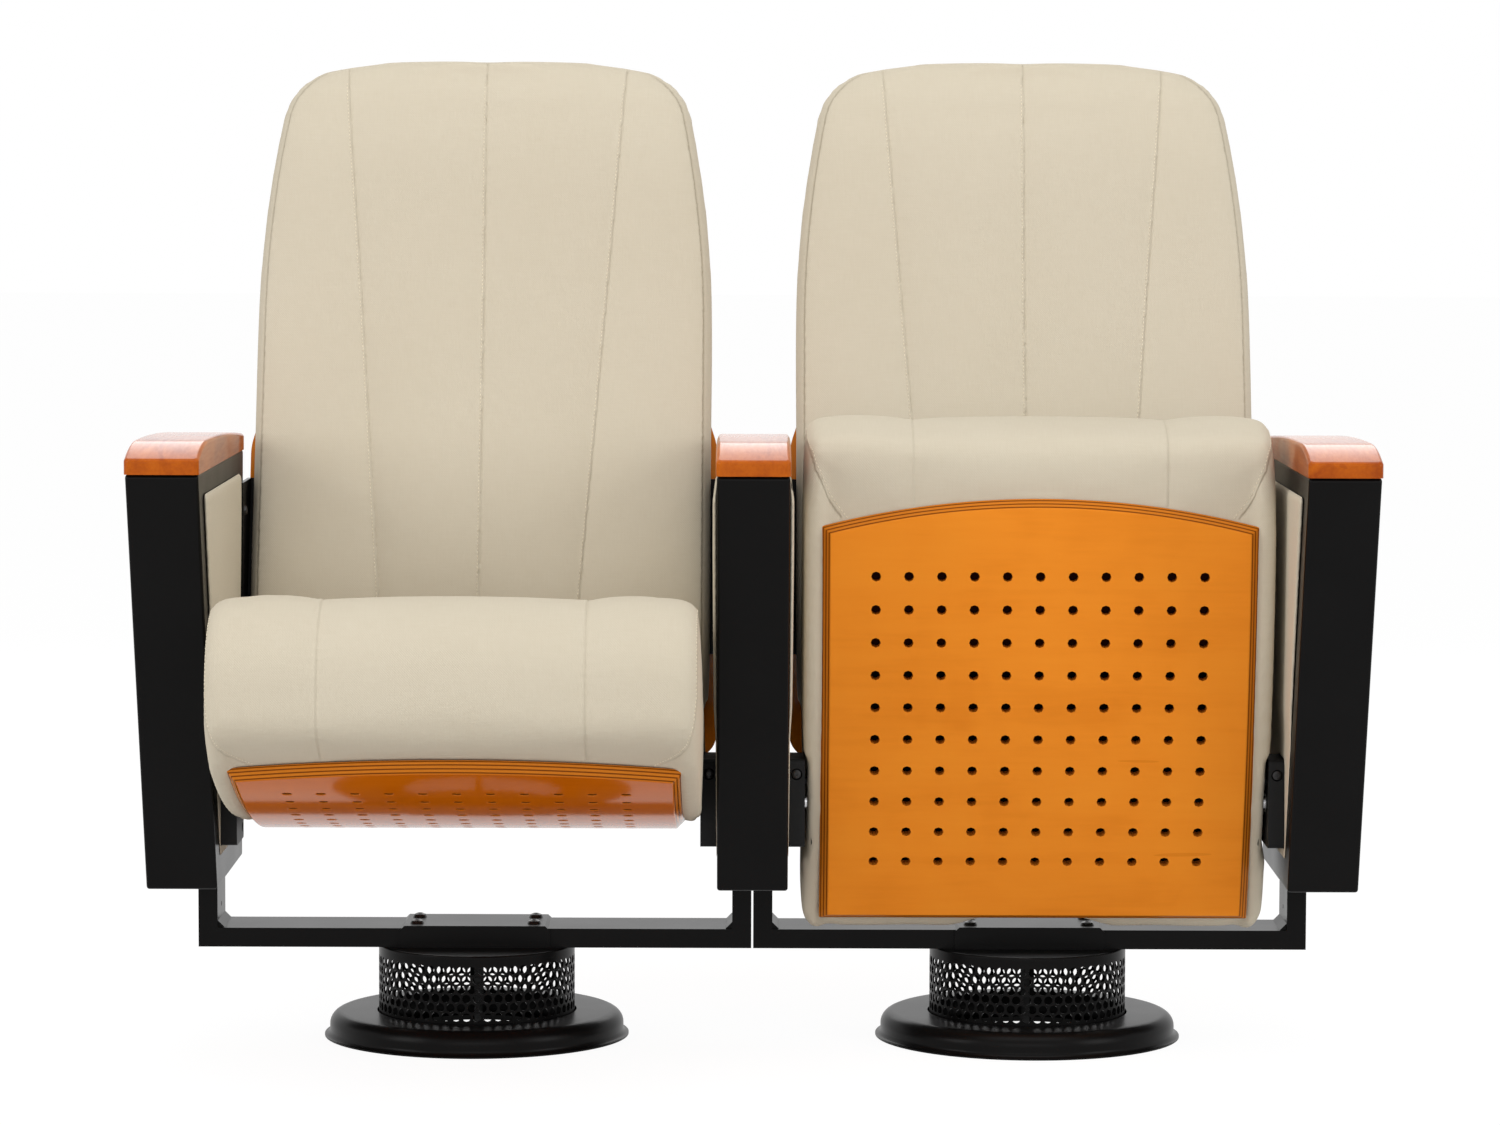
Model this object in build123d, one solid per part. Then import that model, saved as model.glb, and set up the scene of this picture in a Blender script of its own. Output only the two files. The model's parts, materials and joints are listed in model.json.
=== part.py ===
from build123d import *
from math import asin, cos, degrees, radians, sin, sqrt, tan
import os

# A two place unit of tip up auditorium seating on two perforated air pedestals.
# X runs along the row, Y runs away from the sitter's knees and Z runs up, in millimetres.
# Lengths in Y are given from the axis of the pedestals, and the whole unit is then
# shifted so that its origin is on the floor, at the middle of its footprint.

# ---- driving dimensions -------------------------------------------------------------
seat_pitch = 580.0          # middle of one arm to the middle of the next
side_gap = 0.3              # paper thin gap between faces that only lie together
spare = 2.0                 # how far a cutting shape reaches past what it cuts

# Pedestals
base_diameter = 320.0
base_height = 26.0
base_shoulder = 14.0
base_flare = 5.5            # how far the cover's foot curves outwards
cover_clearance = 2.0       # round the drum
sheet = 1.6
flange_diameter = 286.0
flange_thickness = 5.0
duct_diameter = 168.0
anchor_circle = 250.0
anchor_hole = 12.0
anchor_count = 6
drum_diameter = 206.0
drum_hole = 11.0            # across the flats
drum_rows = 4
drum_columns = 30
drum_row_step = 14.0
drum_band = 13.0            # plain band over the top row of holes
head_thickness = 3.0
head_round = 1.5
web_thickness = 4.5
web_gap = 9.4               # the web's edges to the drum's inner face

# Twin U frames of rectangular tube
beam_under = 97.0           # floor to the underside of the beam
tube_thin = 20.0
tube_deep = 80.0
tube_wall = 2.0
frame_gap = 1.0             # half of the slit between the two frames
upright_top = 586.0
weld_leg = 7.0
weld_inset = 4.0            # from the tube's edges to the weld's ends
peephole = 5.0              # small holes in the posts' inner faces
peephole_rises = (20.0, 45.0)   # above the beam
saddle_length = 157.0
saddle_thickness = 3.0
saddle_bevel = 5.0
saddle_bolt_x = 122.6
saddle_bolt_y = 46.0
saddle_bolt = 8.0
saddle_nut = 6.5
bolt_proud = 1.5            # how far a bolt's end stands out of its nut

# Arms
arm_width = 72.0
arm_top = 610.0
arm_bottom = 178.0
arm_front_top = -347.0
arm_front_bottom = -186.0
arm_rear_top = 102.0
arm_rear_bottom = 73.0
arm_wall = 2.0
arm_edge = 4.0              # corners of the casing in side view
casing_round = 3.0          # the casing's long edges
border_front = 34.0
border_rear = 55.0
border_top = 22.0
border_bottom = 30.0
pad_corner = 4.0
pad_thickness = 6.5
outer_pad = 3.5             # the pads on the unit's two ends are thinner
window_gap = 0.6            # round a hinge box, where the pad is cut out
armrest_width = 74.0
armrest_nose = 15.0
armrest_crown = 30.0
armrest_tail = 17.0
armrest_rise = 92.0         # front face to the highest point
armrest_overhang = 3.0
armrest_edge = 4.0
armrest_corner = 6.0
armrest_screw_inset = 90.0  # from the arm's ends to the outer screws
armrest_screw_middle = 225.0
armrest_bite = 11.0         # how deep the screws reach into the wood
foot_screw_front = 60.0
foot_screw_rear = 18.0
foot_screw_length = 9.0

# Hinges
pivot_y = -122.0
pivot_z = 262.0
tip_angle = 63.4
box_thickness = 17.4
box_depth = 70.0
box_rise = 47.0             # pivot to the top of the box
box_drop = 43.0             # pivot to the foot of the box
box_corner = 4.0
pin_diameter = 14.0
bush_diameter = 20.0
running_fit = 0.05          # radial play of the pin in its bush
hinge_plate = 4.0
hinge_gap = 6.6             # between the seat's hinge plate and the box
plate_length = 108.0
plate_height = 34.0
stop_radius = 26.0
stop_diameter = 8.0
stop_reach = 9.0            # how far the stop pin reaches into the box
boss_diameter = 22.0
arm_boss_diameter = 16.0    # round the screws of a hinge plate
cartridge_diameter = 22.0
cartridge_length = 46.0
cartridge_collar = 2.0      # how far the collar stands out round the casing
cartridge_collar_width = 5.0
cartridge_lift = 0.5        # the casing sits a little above the pin's axis
pin_grip = 14.0             # how far a hinge pin reaches in past the tray's side
screw = 6.0
panel_screw_bite = 9.0      # how deep the tray's screws reach into the panel
box_screw = 5.0
cap_screw_drop = 15.0       # top of a hinge box to the screw in its front
cap_screw_length = 14.0
cap_line_drop = 6.5         # top of a hinge box to the joint of its cap
cap_line_width = 0.8
box_screw_set = 22.0        # pivot to a hinge box's side screws, measured level
box_screw_inset = 12.0      # from the box's top and foot to those screws
arm_screw_inset = 14.0      # from a hinge plate's ends to its screws
head_sink = 3.6             # how deep a hinge box's screw heads are sunk
box_back = 2.0              # what is left of the box behind the bush

# Seat
panel_inner_radius = 1098.0
panel_sole_y = 34.5         # where the bent panel would run level
panel_inner_z = 239.0       # the height of its inner face there
panel_front_angle = 25.0
panel_rear_angle = 2.3
panel_thickness = 12.0
panel_side_gap = 33.0       # the panel's sides to the arms
panel_bevel = 9.0           # the slant of the panel's edges on its outer face
panel_arch = 22.0
hole_size = 9.6
hole_columns = 11
hole_rows = 10
hole_pitch_x = 33.2
hole_pitch_y = 34.1
hole_first = 72.0           # panel's front edge to the first row
tray_side_gap = 54.0        # the tray's sides to the arms
tray_wall = 2.5
tray_height = 46.0
tray_foot = 20.0            # width of the tray's feet on the panel
tray_front_angle = 17.0
tray_rear_angle = 3.1
panel_screw_angles = (15.5, 4.5)
panel_screw_inset = 12.0    # from the tray's side to its screws
screw_seat = 0.1            # the flat screw heads clear the tray's curved foot
seat_side_gap = 14.7        # the cushion's widest line to the arms
cheek_width = 17.8          # the cushion's rounded cheeks on both sides
seat_seam = 129.0
seat_nose_y = -486.0
seat_nose_top = 511.0
seat_nose_foot = 374.0
seat_heel_top_y = -24.0
seat_heel_top = 402.0
seat_heel_y = 46.0
nose_round = 82.0
foot_round = 30.0
heel_round = 56.0
heel_foot_round = 22.0
heel_arch_top = 143.0       # with the seat up, its heel is arched to here over the saddle
heel_arch_radius = 215.0
seam_sink = 1.5
seat_crown = 2.0
seat_nose_lean = 8.0        # the nose's top lies behind its foot
cheek_bulge_share = 0.3     # of the draw: how far the nose's foot and the heel follow it
cheek_draw = 24.0           # how far the sides draw in round the edge
cheek_skirt = 8.0           # how far the fabric laps down over the panel's edge
boss_room = 0.5             # round a hinge plate's bosses in the cushion
pocket_room = 7.0           # round a hinge plate in the cushion

# Back
back_top = 1024.0
back_bottom = 308.0
back_side_gap = 10.4        # the back cushion's widest line to the arms
back_waist_z = 740.0
back_taper = 0.00045        # the sides draw in with the square of the height
shoulder_round = 50.0
shoulder_start = 966.0
back_crown = 20.0
back_gusset = 52.0
back_gusset_bulge = 9.0     # the side seams lie this far in from the widest line
back_rear_set = 8.0         # and the rear edge this far
back_seam_sink = 1.5
back_panel_swell = 2.0      # how far a panel swells out between its seams
back_foot_round = 30.0
back_seam_top = 152.0
back_seam_bottom = 94.0
lumbar_z = 418.0
lumbar_y = 28.0
back_foot_y = 58.0
back_mid_z = 830.0
back_mid_y = 164.0
back_head_y = 214.0
shell_bottom = 283.0
shell_top = 962.0
shell_foot_y = 88.0
shell_bend_z = 400.0
shell_bend_y = 86.0
shell_mid_z = 800.0
shell_mid_y = 226.0
shell_head_y = 280.0
shell_thickness = 12.0
shell_side_gap = 3.0        # the shell's sides to the arms
shell_shoulder_z = 612.0
shell_top_draw = 46.0       # how far the shell's top corners are set in
board_thickness = 8.0
board_set_in = 29.0         # the board's sides, in from the shell's
bracket_thickness = 4.0
bracket_top = 577.0
bracket_bottom = 394.0
bracket_front = 44.0

# ---- values that follow ---------------------------------------------------------------
arm_half = arm_width / 2
bay_half = seat_pitch / 2 - arm_half
beam_top = beam_under + tube_thin
pivot_stack = bay_half - box_thickness
plate_outer = pivot_stack - hinge_gap
plate_inner = plate_outer - hinge_plate
drum_radius = drum_diameter / 2
web_length = 2 * (drum_radius - sheet - web_gap)
panel_radius = panel_inner_radius + panel_thickness
panel_sole_z = panel_inner_z - panel_thickness
panel_half = bay_half - panel_side_gap
tray_half = bay_half - tray_side_gap
seat_half = bay_half - seat_side_gap
seat_flat_half = seat_half - cheek_width
back_half = bay_half - back_side_gap
shell_half = bay_half - shell_side_gap
shell_top_half = shell_half - shell_top_draw
board_half = shell_half - board_set_in
panel_centre = (panel_sole_y, panel_sole_z + panel_radius)
plate_lean = asin((panel_sole_y - pivot_y) / panel_radius)
arms = {"left": -seat_pitch, "middle": 0.0, "right": seat_pitch}
seats = {"left": -seat_pitch / 2, "right": seat_pitch / 2}
sides = {"left": -1, "right": 1}


# ---- general helpers ------------------------------------------------------------------
def save(name, shape):
    """Write one piece, or a set of like pieces, in the unit's own frame."""
    moved = Pos(0, unit_shift, 0) * shape
    moved.label = name
    export_step(moved, "parts/" + name + ".step")


def group(shapes):
    """Keep like pieces together as separate solids."""
    return Compound(children=list(shapes))


def box(x, y, z):
    """A block between two values on each axis."""
    middle = Pos((x[0] + x[1]) / 2, (y[0] + y[1]) / 2, (z[0] + z[1]) / 2)
    return middle * Box(abs(x[1] - x[0]), abs(y[1] - y[0]), abs(z[1] - z[0]))


def rod(radius, start, end, y, z):
    """A round bar along X between two values."""
    return Pos((start + end) / 2, y, z) * Rot(0, 90, 0) * Cylinder(radius, abs(end - start))


def side_slab(face, start, end):
    """Extrude an outline drawn in Y and Z along X, between two values."""
    low = min(start, end)
    return Pos(low, 0, 0) * extrude(Plane.YZ * face, abs(end - start))


def rounded_points(corners, radii):
    """Give each corner's two tangent points and the middle of its arc."""
    found = []
    count = len(corners)
    for index in range(count):
        corner = Vector(*corners[index])
        before = (Vector(*corners[index - 1]) - corner).normalized()
        after = (Vector(*corners[(index + 1) % count]) - corner).normalized()
        half = radians(before.get_angle(after)) / 2
        reach = radii[index] / tan(half)
        bisector = (before + after).normalized()
        middle = corner + bisector * (radii[index] / sin(half) - radii[index])
        found.append((corner + before * reach, middle, corner + after * reach))
    return found


def rounded_face(corners, radii):
    """A closed outline of straight runs and tangent arcs, in the XY plane."""
    points = rounded_points(corners, radii)
    edges = []
    for index, (start, middle, end) in enumerate(points):
        edges.append(ThreePointArc(start, middle, end))
        edges.append(Line(end, points[(index + 1) % len(points)][0]))
    return make_face(edges)


def raised(shape, angle):
    """Tip a seat's piece up about the hinge pins."""
    return Pos(0, pivot_y, pivot_z) * Rot(-angle, 0, 0) * Pos(0, -pivot_y, -pivot_z) * shape


# ---- pedestals --------------------------------------------------------------------------
def ring(outer, inner, bottom, top):
    """A flat ring about the Z axis."""
    height = top - bottom
    disc = Pos(0, 0, bottom + height / 2) * Cylinder(outer, height)
    return disc - Pos(0, 0, bottom + height / 2) * Cylinder(inner, height + 2)


def floor_flange():
    """The steel ring that is anchored to the floor round the air duct."""
    plate = ring(flange_diameter / 2, duct_diameter / 2, 0, flange_thickness)
    holes = PolarLocations(anchor_circle / 2, anchor_count, start_angle=30)
    return plate - [place * Cylinder(anchor_hole / 2, 4 * flange_thickness) for place in holes]


def cover_line(inset):
    """The cover's outer face in section, or a line inside it: shoulder, wall and flared foot."""
    outer = base_diameter / 2
    wall = outer - base_flare
    shoulder = base_shoulder - inset
    flare = base_flare + inset
    turns = [radians(turn) for turn in (0, 30, 60, 90)]
    top = [
        (wall - base_shoulder + shoulder * sin(turn), base_height - base_shoulder + shoulder * cos(turn))
        for turn in turns
    ]
    foot = sheet + base_flare
    return top + [(outer - flare * cos(turn), foot - flare * sin(turn)) for turn in turns]


def base_cover():
    """The spun cover with its collar, flat top, rounded shoulder and flared foot."""
    inner = drum_radius + cover_clearance
    collar = [(inner, flange_thickness), (inner, base_height)]
    under = [(inner + sheet, base_height - sheet), (inner + sheet, flange_thickness)]
    with BuildPart() as cover:
        with BuildSketch(Plane.XZ):
            Polygon(*collar, *cover_line(0), *reversed(cover_line(sheet)), *under, align=None)
        revolve(axis=Axis.Z)
    return cover.part


def drum():
    """The perforated sheet drum, with its staggered six sided holes."""
    top = beam_under - head_thickness
    shell = ring(drum_radius, drum_radius - sheet, flange_thickness, top)
    first = top - drum_band
    step = 360 / drum_columns
    prism = extrude(RegularPolygon(drum_hole / 2, 6, major_radius=False), 8 * sheet)
    cutters = []
    for row in range(drum_rows):
        z = first - (row + 0.5) * drum_row_step
        for column in range(drum_columns):
            turn = (column + 0.5 * (row % 2)) * step
            place = Pos(0, 0, z) * Rot(0, 0, turn) * Pos(drum_radius - 6 * sheet, 0, 0) * Rot(0, 90, 0)
            cutters.append(place * prism)
    return shell - cutters


def pedestal_web():
    """The upright plate that carries the beam inside the drum."""
    half = web_length / 2
    thin = web_thickness / 2
    return box((-thin, thin), (-half, half), (flange_thickness, beam_under - head_thickness))


def bolt_places():
    """The four bolts of a saddle plate."""
    return GridLocations(saddle_bolt_x, saddle_bolt_y, 2, 2)


def pedestal_head():
    """The disc that closes the drum under the beam."""
    disc = Pos(0, 0, beam_under - head_thickness / 2) * Cylinder(drum_radius, head_thickness)
    disc = fillet(disc.edges().sort_by(Axis.Z)[-1], head_round)
    return disc - [place * Cylinder(saddle_bolt / 2 + side_gap, 4 * beam_under) for place in bolt_places()]


def saddle_plate():
    """The pressed saddle that clamps the beam to the pedestal: a top with bevelled ends and two skirts."""
    half = saddle_length / 2
    high = beam_top + saddle_thickness
    near = tube_deep / 2 + side_gap
    with BuildPart() as saddle:
        with BuildSketch(Plane.XZ):
            Polygon(
                (-half, beam_under), (half, beam_under),
                (half, high - saddle_bevel), (half - saddle_bevel, high),
                (saddle_bevel - half, high), (-half, high - saddle_bevel),
                align=None,
            )
        extrude(amount=near + saddle_thickness, both=True)
    channel = box((-half - 1, half + 1), (-near, near), (beam_under - 1, beam_top))
    holes = [place * Cylinder(saddle_bolt / 2 + side_gap, 4 * high) for place in bolt_places()]
    return saddle.part - channel - holes


def button_bolt(diameter, length):
    """A button head bolt: its head stands on Z = 0 and its shank runs down."""
    head = 0.95 * diameter
    rise = 0.52 * diameter
    with BuildPart() as bolt:
        with BuildSketch(Plane.XZ):
            Polygon(
                (0, -length), (diameter / 2, -length), (diameter / 2, 0), (head, 0),
                (0.8 * head, 0.7 * rise), (0.42 * head, rise), (0, rise), align=None,
            )
        revolve(axis=Axis.Z)
    socket = extrude(RegularPolygon(diameter * 0.3, 6), diameter)
    return bolt.part - Pos(0, 0, 0.2 * diameter) * socket


def saddle_bolts():
    """Four bolts with their nuts under the drum's head."""
    high = beam_top + saddle_thickness
    nut_foot = beam_under - head_thickness - saddle_nut
    bolt = Pos(0, 0, high) * button_bolt(saddle_bolt, high - nut_foot + bolt_proud)
    nut = Pos(0, 0, nut_foot) * extrude(RegularPolygon(0.94 * saddle_bolt, 6), saddle_nut)
    return [place * (bolt + nut) for place in bolt_places()]


# ---- frames -------------------------------------------------------------------------------
def tube_run(outer, inner):
    """A run of rectangular tube, given by the outlines of its outside and its bore."""
    half = tube_deep / 2
    solid = extrude(Plane.XZ * make_face(Polyline(*outer, close=True)), half, both=True)
    return solid - extrude(Plane.XZ * make_face(Polyline(*inner, close=True)), half - tube_wall, both=True)


def beam(middle):
    """The beam under a seat, with mitred ends."""
    half = seat_pitch / 2 - frame_gap
    inner = half - tube_thin
    outline = [(-half, beam_under), (half, beam_under), (inner, beam_top), (-inner, beam_top)]
    low = beam_under + tube_wall
    high = beam_top - tube_wall
    bore = [
        (tube_wall - half, low), (half - tube_wall, low),
        (inner + tube_wall, high), (-inner - tube_wall, high),
    ]
    holes = [place * Cylinder(saddle_bolt / 2 + side_gap, 4 * beam_top) for place in bolt_places()]
    return Pos(middle, 0, 0) * (tube_run(outline, bore) - holes)


def upright(middle, side):
    """The post at a beam's end, with its mitre, its weld and its small holes."""
    outer = side * (seat_pitch / 2 - frame_gap)
    inner = outer - side * tube_thin
    wall = side * tube_wall
    outline = [(outer, beam_under), (inner, beam_top), (inner, upright_top), (outer, upright_top)]
    bore = [
        (outer - wall, beam_under + tube_wall), (inner + wall, beam_top - tube_wall),
        (inner + wall, upright_top + 1), (outer - wall, upright_top + 1),
    ]
    weld = [(inner, beam_top), (inner - side * weld_leg, beam_top), (inner, beam_top + weld_leg)]
    post = tube_run(outline, bore)
    seam = make_face(Polyline(*weld, close=True))
    post = post + extrude(Plane.XZ * seam, tube_deep / 2 - weld_inset, both=True)
    for rise in peephole_rises:
        post = post - rod(peephole / 2, inner - wall, inner + 2 * wall, 0, beam_top + rise)
    return Pos(middle, 0, 0) * post


# ---- arms ---------------------------------------------------------------------------------
def arm_edge_y(height, front):
    """Where an arm's front or rear edge is at some height."""
    share = (height - arm_bottom) / (arm_top - arm_bottom)
    low = arm_front_bottom if front else arm_rear_bottom
    high = arm_front_top if front else arm_rear_top
    return low + share * (high - low)


def arm_outline(front, rear, top, bottom):
    """The arm's side view, drawn in by a border on each side."""
    low = arm_bottom + bottom
    high = arm_top - top
    slant = sqrt(1 + ((arm_front_bottom - arm_front_top) / (arm_top - arm_bottom)) ** 2)
    return [
        (arm_edge_y(low, True) + front * slant, low),
        (arm_edge_y(low, False) - rear, low),
        (arm_edge_y(high, False) - rear, high),
        (arm_edge_y(high, True) + front * slant, high),
    ]


def upright_slots(name):
    """The middles of the posts that rise into one arm, measured from the arm's middle."""
    offset = frame_gap + tube_thin / 2
    return {"left": [offset], "middle": [-offset, offset], "right": [-offset]}[name]


def arm_casing(name):
    """The sheet steel casing, open below for the posts."""
    outline = rounded_face(arm_outline(0, 0, 0, 0), [arm_edge] * 4)
    casing = side_slab(outline, -arm_half, arm_half)
    casing = fillet(casing.faces().filter_by(Axis.X).edges(), casing_round)
    inside = make_face(Polyline(*arm_outline(arm_wall, arm_wall, arm_wall, arm_wall), close=True))
    casing = casing - side_slab(inside, arm_wall - arm_half, arm_half - arm_wall)
    for middle in upright_slots(name):
        half = tube_thin / 2 + side_gap
        deep = tube_deep / 2 + side_gap
        floor = (arm_bottom - 2 * arm_wall, arm_bottom + 2 * arm_wall)
        casing = casing - box((middle - half, middle + half), (-deep, deep), floor)
    for y in armrest_screw_places():
        casing = casing - Pos(0, y, arm_top) * Cylinder(screw / 2 + side_gap, 6 * arm_wall)
    for y in foot_screw_places():
        casing = casing - Pos(0, y, arm_bottom) * Cylinder(screw / 2 + side_gap, 6 * arm_wall)
    for side in bay_sides(name):
        inner = side * (arm_half - 3 * arm_wall)
        outer = side * (arm_half + 3 * arm_wall)
        for y, z in bracket_bolt_places():
            casing = casing - rod(screw / 2 + side_gap, inner, outer, y, z)
        for y, z in box_screw_places():
            casing = casing - rod(box_screw / 2 + side_gap, inner, outer, y, z)
    return casing


def bay_sides(name):
    """The sides of an arm that face a seat: -1 for its left side and 1 for its right."""
    return {"left": [1], "middle": [-1, 1], "right": [-1]}[name]


def armrest_screw_places():
    """Where the screws rise through the casing into the wood."""
    front = arm_front_top + armrest_screw_inset
    return [front, arm_front_top + armrest_screw_middle, arm_rear_top - armrest_screw_inset]


def foot_screw_places():
    """Where the two screws close the casing from below."""
    return [arm_front_bottom + foot_screw_front, arm_rear_bottom - foot_screw_rear]


def box_window():
    """The side view of a hinge box, as Y and Z limits."""
    return (pivot_y - box_depth / 2, pivot_y + box_depth / 2), (pivot_z - box_drop, pivot_z + box_rise)


def arm_pad(name, side):
    """A fabric covered pad on one side of an arm, cut out round a hinge box."""
    corners = arm_outline(border_front, border_rear, border_top, border_bottom)
    outline = rounded_face(corners, [pad_corner] * 4)
    thickness = pad_thickness if side in bay_sides(name) else outer_pad
    start = side * (arm_half + side_gap)
    end = side * (arm_half + thickness)
    pad = side_slab(outline, start, end)
    rim = pad.faces().sort_by(Axis.X)[-1 if side > 0 else 0]
    pad = fillet(rim.outer_wire().edges(), thickness * 0.55)
    if side in bay_sides(name):
        y, z = box_window()
        window_y = (y[0] - window_gap, y[1] + window_gap)
        window_z = (z[0] - window_gap, z[1] + window_gap)
        pad = pad - box((side * 0.9 * arm_half, side * 1.5 * arm_half), window_y, window_z)
    return pad


def armrest():
    """The bent and rounded wooden armrest."""
    front = arm_front_top - armrest_overhang
    rear = arm_rear_top + armrest_overhang
    nose = arm_top + armrest_nose
    tail = arm_top + armrest_tail
    crest = (front + armrest_rise, arm_top + armrest_crown)
    with BuildPart() as rest:
        with BuildSketch(Plane.YZ):
            with BuildLine():
                TangentArc(crest, (front, nose), tangent=(-1, 0))
                Polyline((front, nose), (front, arm_top), (rear, arm_top), (rear, tail))
                TangentArc(crest, (rear, tail), tangent=(1, 0))
            make_face()
        extrude(amount=armrest_width / 2, both=True)
    plan = RectangleRounded(armrest_width, rear - front, armrest_corner)
    wood = rest.part & Pos(0, (front + rear) / 2, arm_top - 5) * extrude(plan, 2 * armrest_crown)
    rim = [edge for edge in wood.edges() if edge.center().Z > arm_top + armrest_nose / 2 + 1]
    wood = fillet([edge for edge in rim if abs(edge.center().Y - crest[0]) > 1], armrest_edge)
    for y in armrest_screw_places():
        wood = wood - Pos(0, y, arm_top) * Cylinder(screw / 2, 2 * armrest_bite)
    return wood


def armrest_screws(middle):
    """Screws from inside one arm into its wood."""
    turned = Rot(180, 0, 0) * button_bolt(screw, arm_wall + armrest_bite - side_gap)
    return [Pos(middle, y, arm_top - arm_wall) * turned for y in armrest_screw_places()]


def foot_screws(middle):
    """Screws under one arm."""
    turned = Rot(180, 0, 0) * button_bolt(screw, foot_screw_length)
    return [Pos(middle, y, arm_bottom) * turned for y in foot_screw_places()]


# ---- hinges -------------------------------------------------------------------------------
def stop_slot(side):
    """The curved slot that limits the travel, from the seat's down to its up pose."""
    half = stop_diameter / 2 + side_gap
    points = []
    for turn in (0, tip_angle / 2, tip_angle):
        angle = radians(180 - turn)
        points.append((pivot_y + stop_radius * cos(angle), pivot_z + stop_radius * sin(angle)))
    arc = ThreePointArc(*points)
    slot = SlotArc(arc, 2 * half)
    return side_slab(slot, side * (pivot_stack - 1), side * (pivot_stack + stop_reach + 1))


def hinge_box(side):
    """A black hinge housing on an arm, bored for the bush and slotted for the stop."""
    y, z = box_window()
    front_view = RectangleRounded(box_depth, z[1] - z[0], box_corner)
    outline = Pos((y[0] + y[1]) / 2, (z[0] + z[1]) / 2) * front_view
    block = side_slab(outline, side * pivot_stack, side * bay_half)
    face = side * (pivot_stack - 1)
    joint = z[1] - cap_line_drop
    block = block - box((face, side * (pivot_stack + cap_line_width)), y, (joint, joint + cap_line_width))
    block = block - rod(bush_diameter / 2, face, side * (bay_half - box_back), pivot_y, pivot_z)
    block = block - stop_slot(side)
    front = Pos(side * (bay_half - box_thickness / 2), y[0], z[1] - cap_screw_drop) * Rot(90, 0, 0)
    block = block - front * Cylinder(screw / 2 + side_gap, 2 * (head_sink + cap_screw_length + side_gap))
    block = block - front * Cylinder(screw, 2 * head_sink)
    for place_y, place_z in box_screw_places():
        block = block - rod(box_screw / 2 + side_gap, face, side * (bay_half + 1), place_y, place_z)
        block = block - rod(box_screw, face, side * (pivot_stack + head_sink), place_y, place_z)
    return block


def box_screw_places():
    """The two screws that hold a hinge box to the arm's sheet."""
    heights = (pivot_z + box_rise - box_screw_inset, pivot_z - box_drop + box_screw_inset)
    return [(pivot_y + box_screw_set, height) for height in heights]


def hinge_bush(side):
    """The plain bearing in a hinge box."""
    start = side * pivot_stack
    end = side * (bay_half - box_back)
    sleeve = rod(bush_diameter / 2, start, end, pivot_y, pivot_z)
    return sleeve - rod(pin_diameter / 2 + running_fit, start - side, end + side, pivot_y, pivot_z)


def box_fasteners(side):
    """The screw in a hinge box's front face and the two that hold it to the arm."""
    y, z = box_window()
    front = Rot(90, 0, 0) * button_bolt(screw, cap_screw_length)
    found = [Pos(side * (bay_half - box_thickness / 2), y[0] + head_sink, z[1] - cap_screw_drop) * front]
    for place_y, place_z in box_screw_places():
        fixing = Rot(0, -90 * side, 0) * button_bolt(box_screw, box_thickness - head_sink + arm_wall + 4)
        found.append(Pos(side * (pivot_stack + head_sink), place_y, place_z) * fixing)
    return found


def hinge_arm(side):
    """The steel plate on a seat's side, with its bosses and its stop pin."""
    corner = RectangleRounded(plate_length, plate_height, plate_height / 2 - 0.5)
    outline = Pos(pivot_y, pivot_z) * Rot(0, 0, -degrees(plate_lean)) * corner
    plate = side_slab(outline, side * plate_inner, side * plate_outer)
    foot = side * (tray_half + side_gap)
    plate = plate + rod(boss_diameter / 2, foot, side * plate_inner, pivot_y, pivot_z)
    stop_y = pivot_y - stop_radius
    stop_end = side * (pivot_stack + stop_reach)
    plate = plate + rod(stop_diameter / 2, side * plate_inner, stop_end, stop_y, pivot_z)
    for y, z in arm_screw_places():
        plate = plate + rod(arm_boss_diameter / 2, foot, side * plate_inner, y, z)
        plate = plate - rod(screw / 2 + side_gap, side * (tray_half - 1), side * (plate_outer + 1), y, z)
    return plate - rod(pin_diameter / 2, side * (tray_half - 1), side * (plate_outer + 1), pivot_y, pivot_z)


def arm_screw_places():
    """The screws that hold a hinge plate to the seat's tray."""
    reach = plate_length / 2 - arm_screw_inset
    across, down = reach * cos(plate_lean), reach * sin(plate_lean)
    return [(pivot_y + way * across, pivot_z - way * down) for way in (-1, 1)]


def pivot_pin(side):
    """A hinge pin, pressed into the seat and running in the bush."""
    end = bay_half - box_back - side_gap
    return rod(pin_diameter / 2, side * (tray_half - pin_grip), side * end, pivot_y, pivot_z)


def damper_cartridge(side):
    """The sealed damper that sits over a pin inside the tray."""
    outer = side * (tray_half - tray_wall - side_gap)
    inner = outer - side * cartridge_length
    body = rod(cartridge_diameter / 2, inner, outer, pivot_y, pivot_z + cartridge_lift)
    collar_radius = cartridge_diameter / 2 + cartridge_collar
    collar_end = inner + side * cartridge_collar_width
    collar_z = pivot_z + cartridge_collar + 2 * cartridge_lift
    body = body + rod(collar_radius, inner, collar_end, pivot_y, collar_z)
    pin_end = tray_half - pin_grip
    return body - rod(pin_diameter / 2 + side_gap, side * (pin_end - 2), side * tray_half, pivot_y, pivot_z)


# ---- seats --------------------------------------------------------------------------------
def on_panel(angle, radius):
    """A point of the bent panel's section, by its angle from the level tangent."""
    return (
        panel_centre[0] - radius * sin(radians(angle)),
        panel_centre[1] - radius * cos(radians(angle)),
    )


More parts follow.
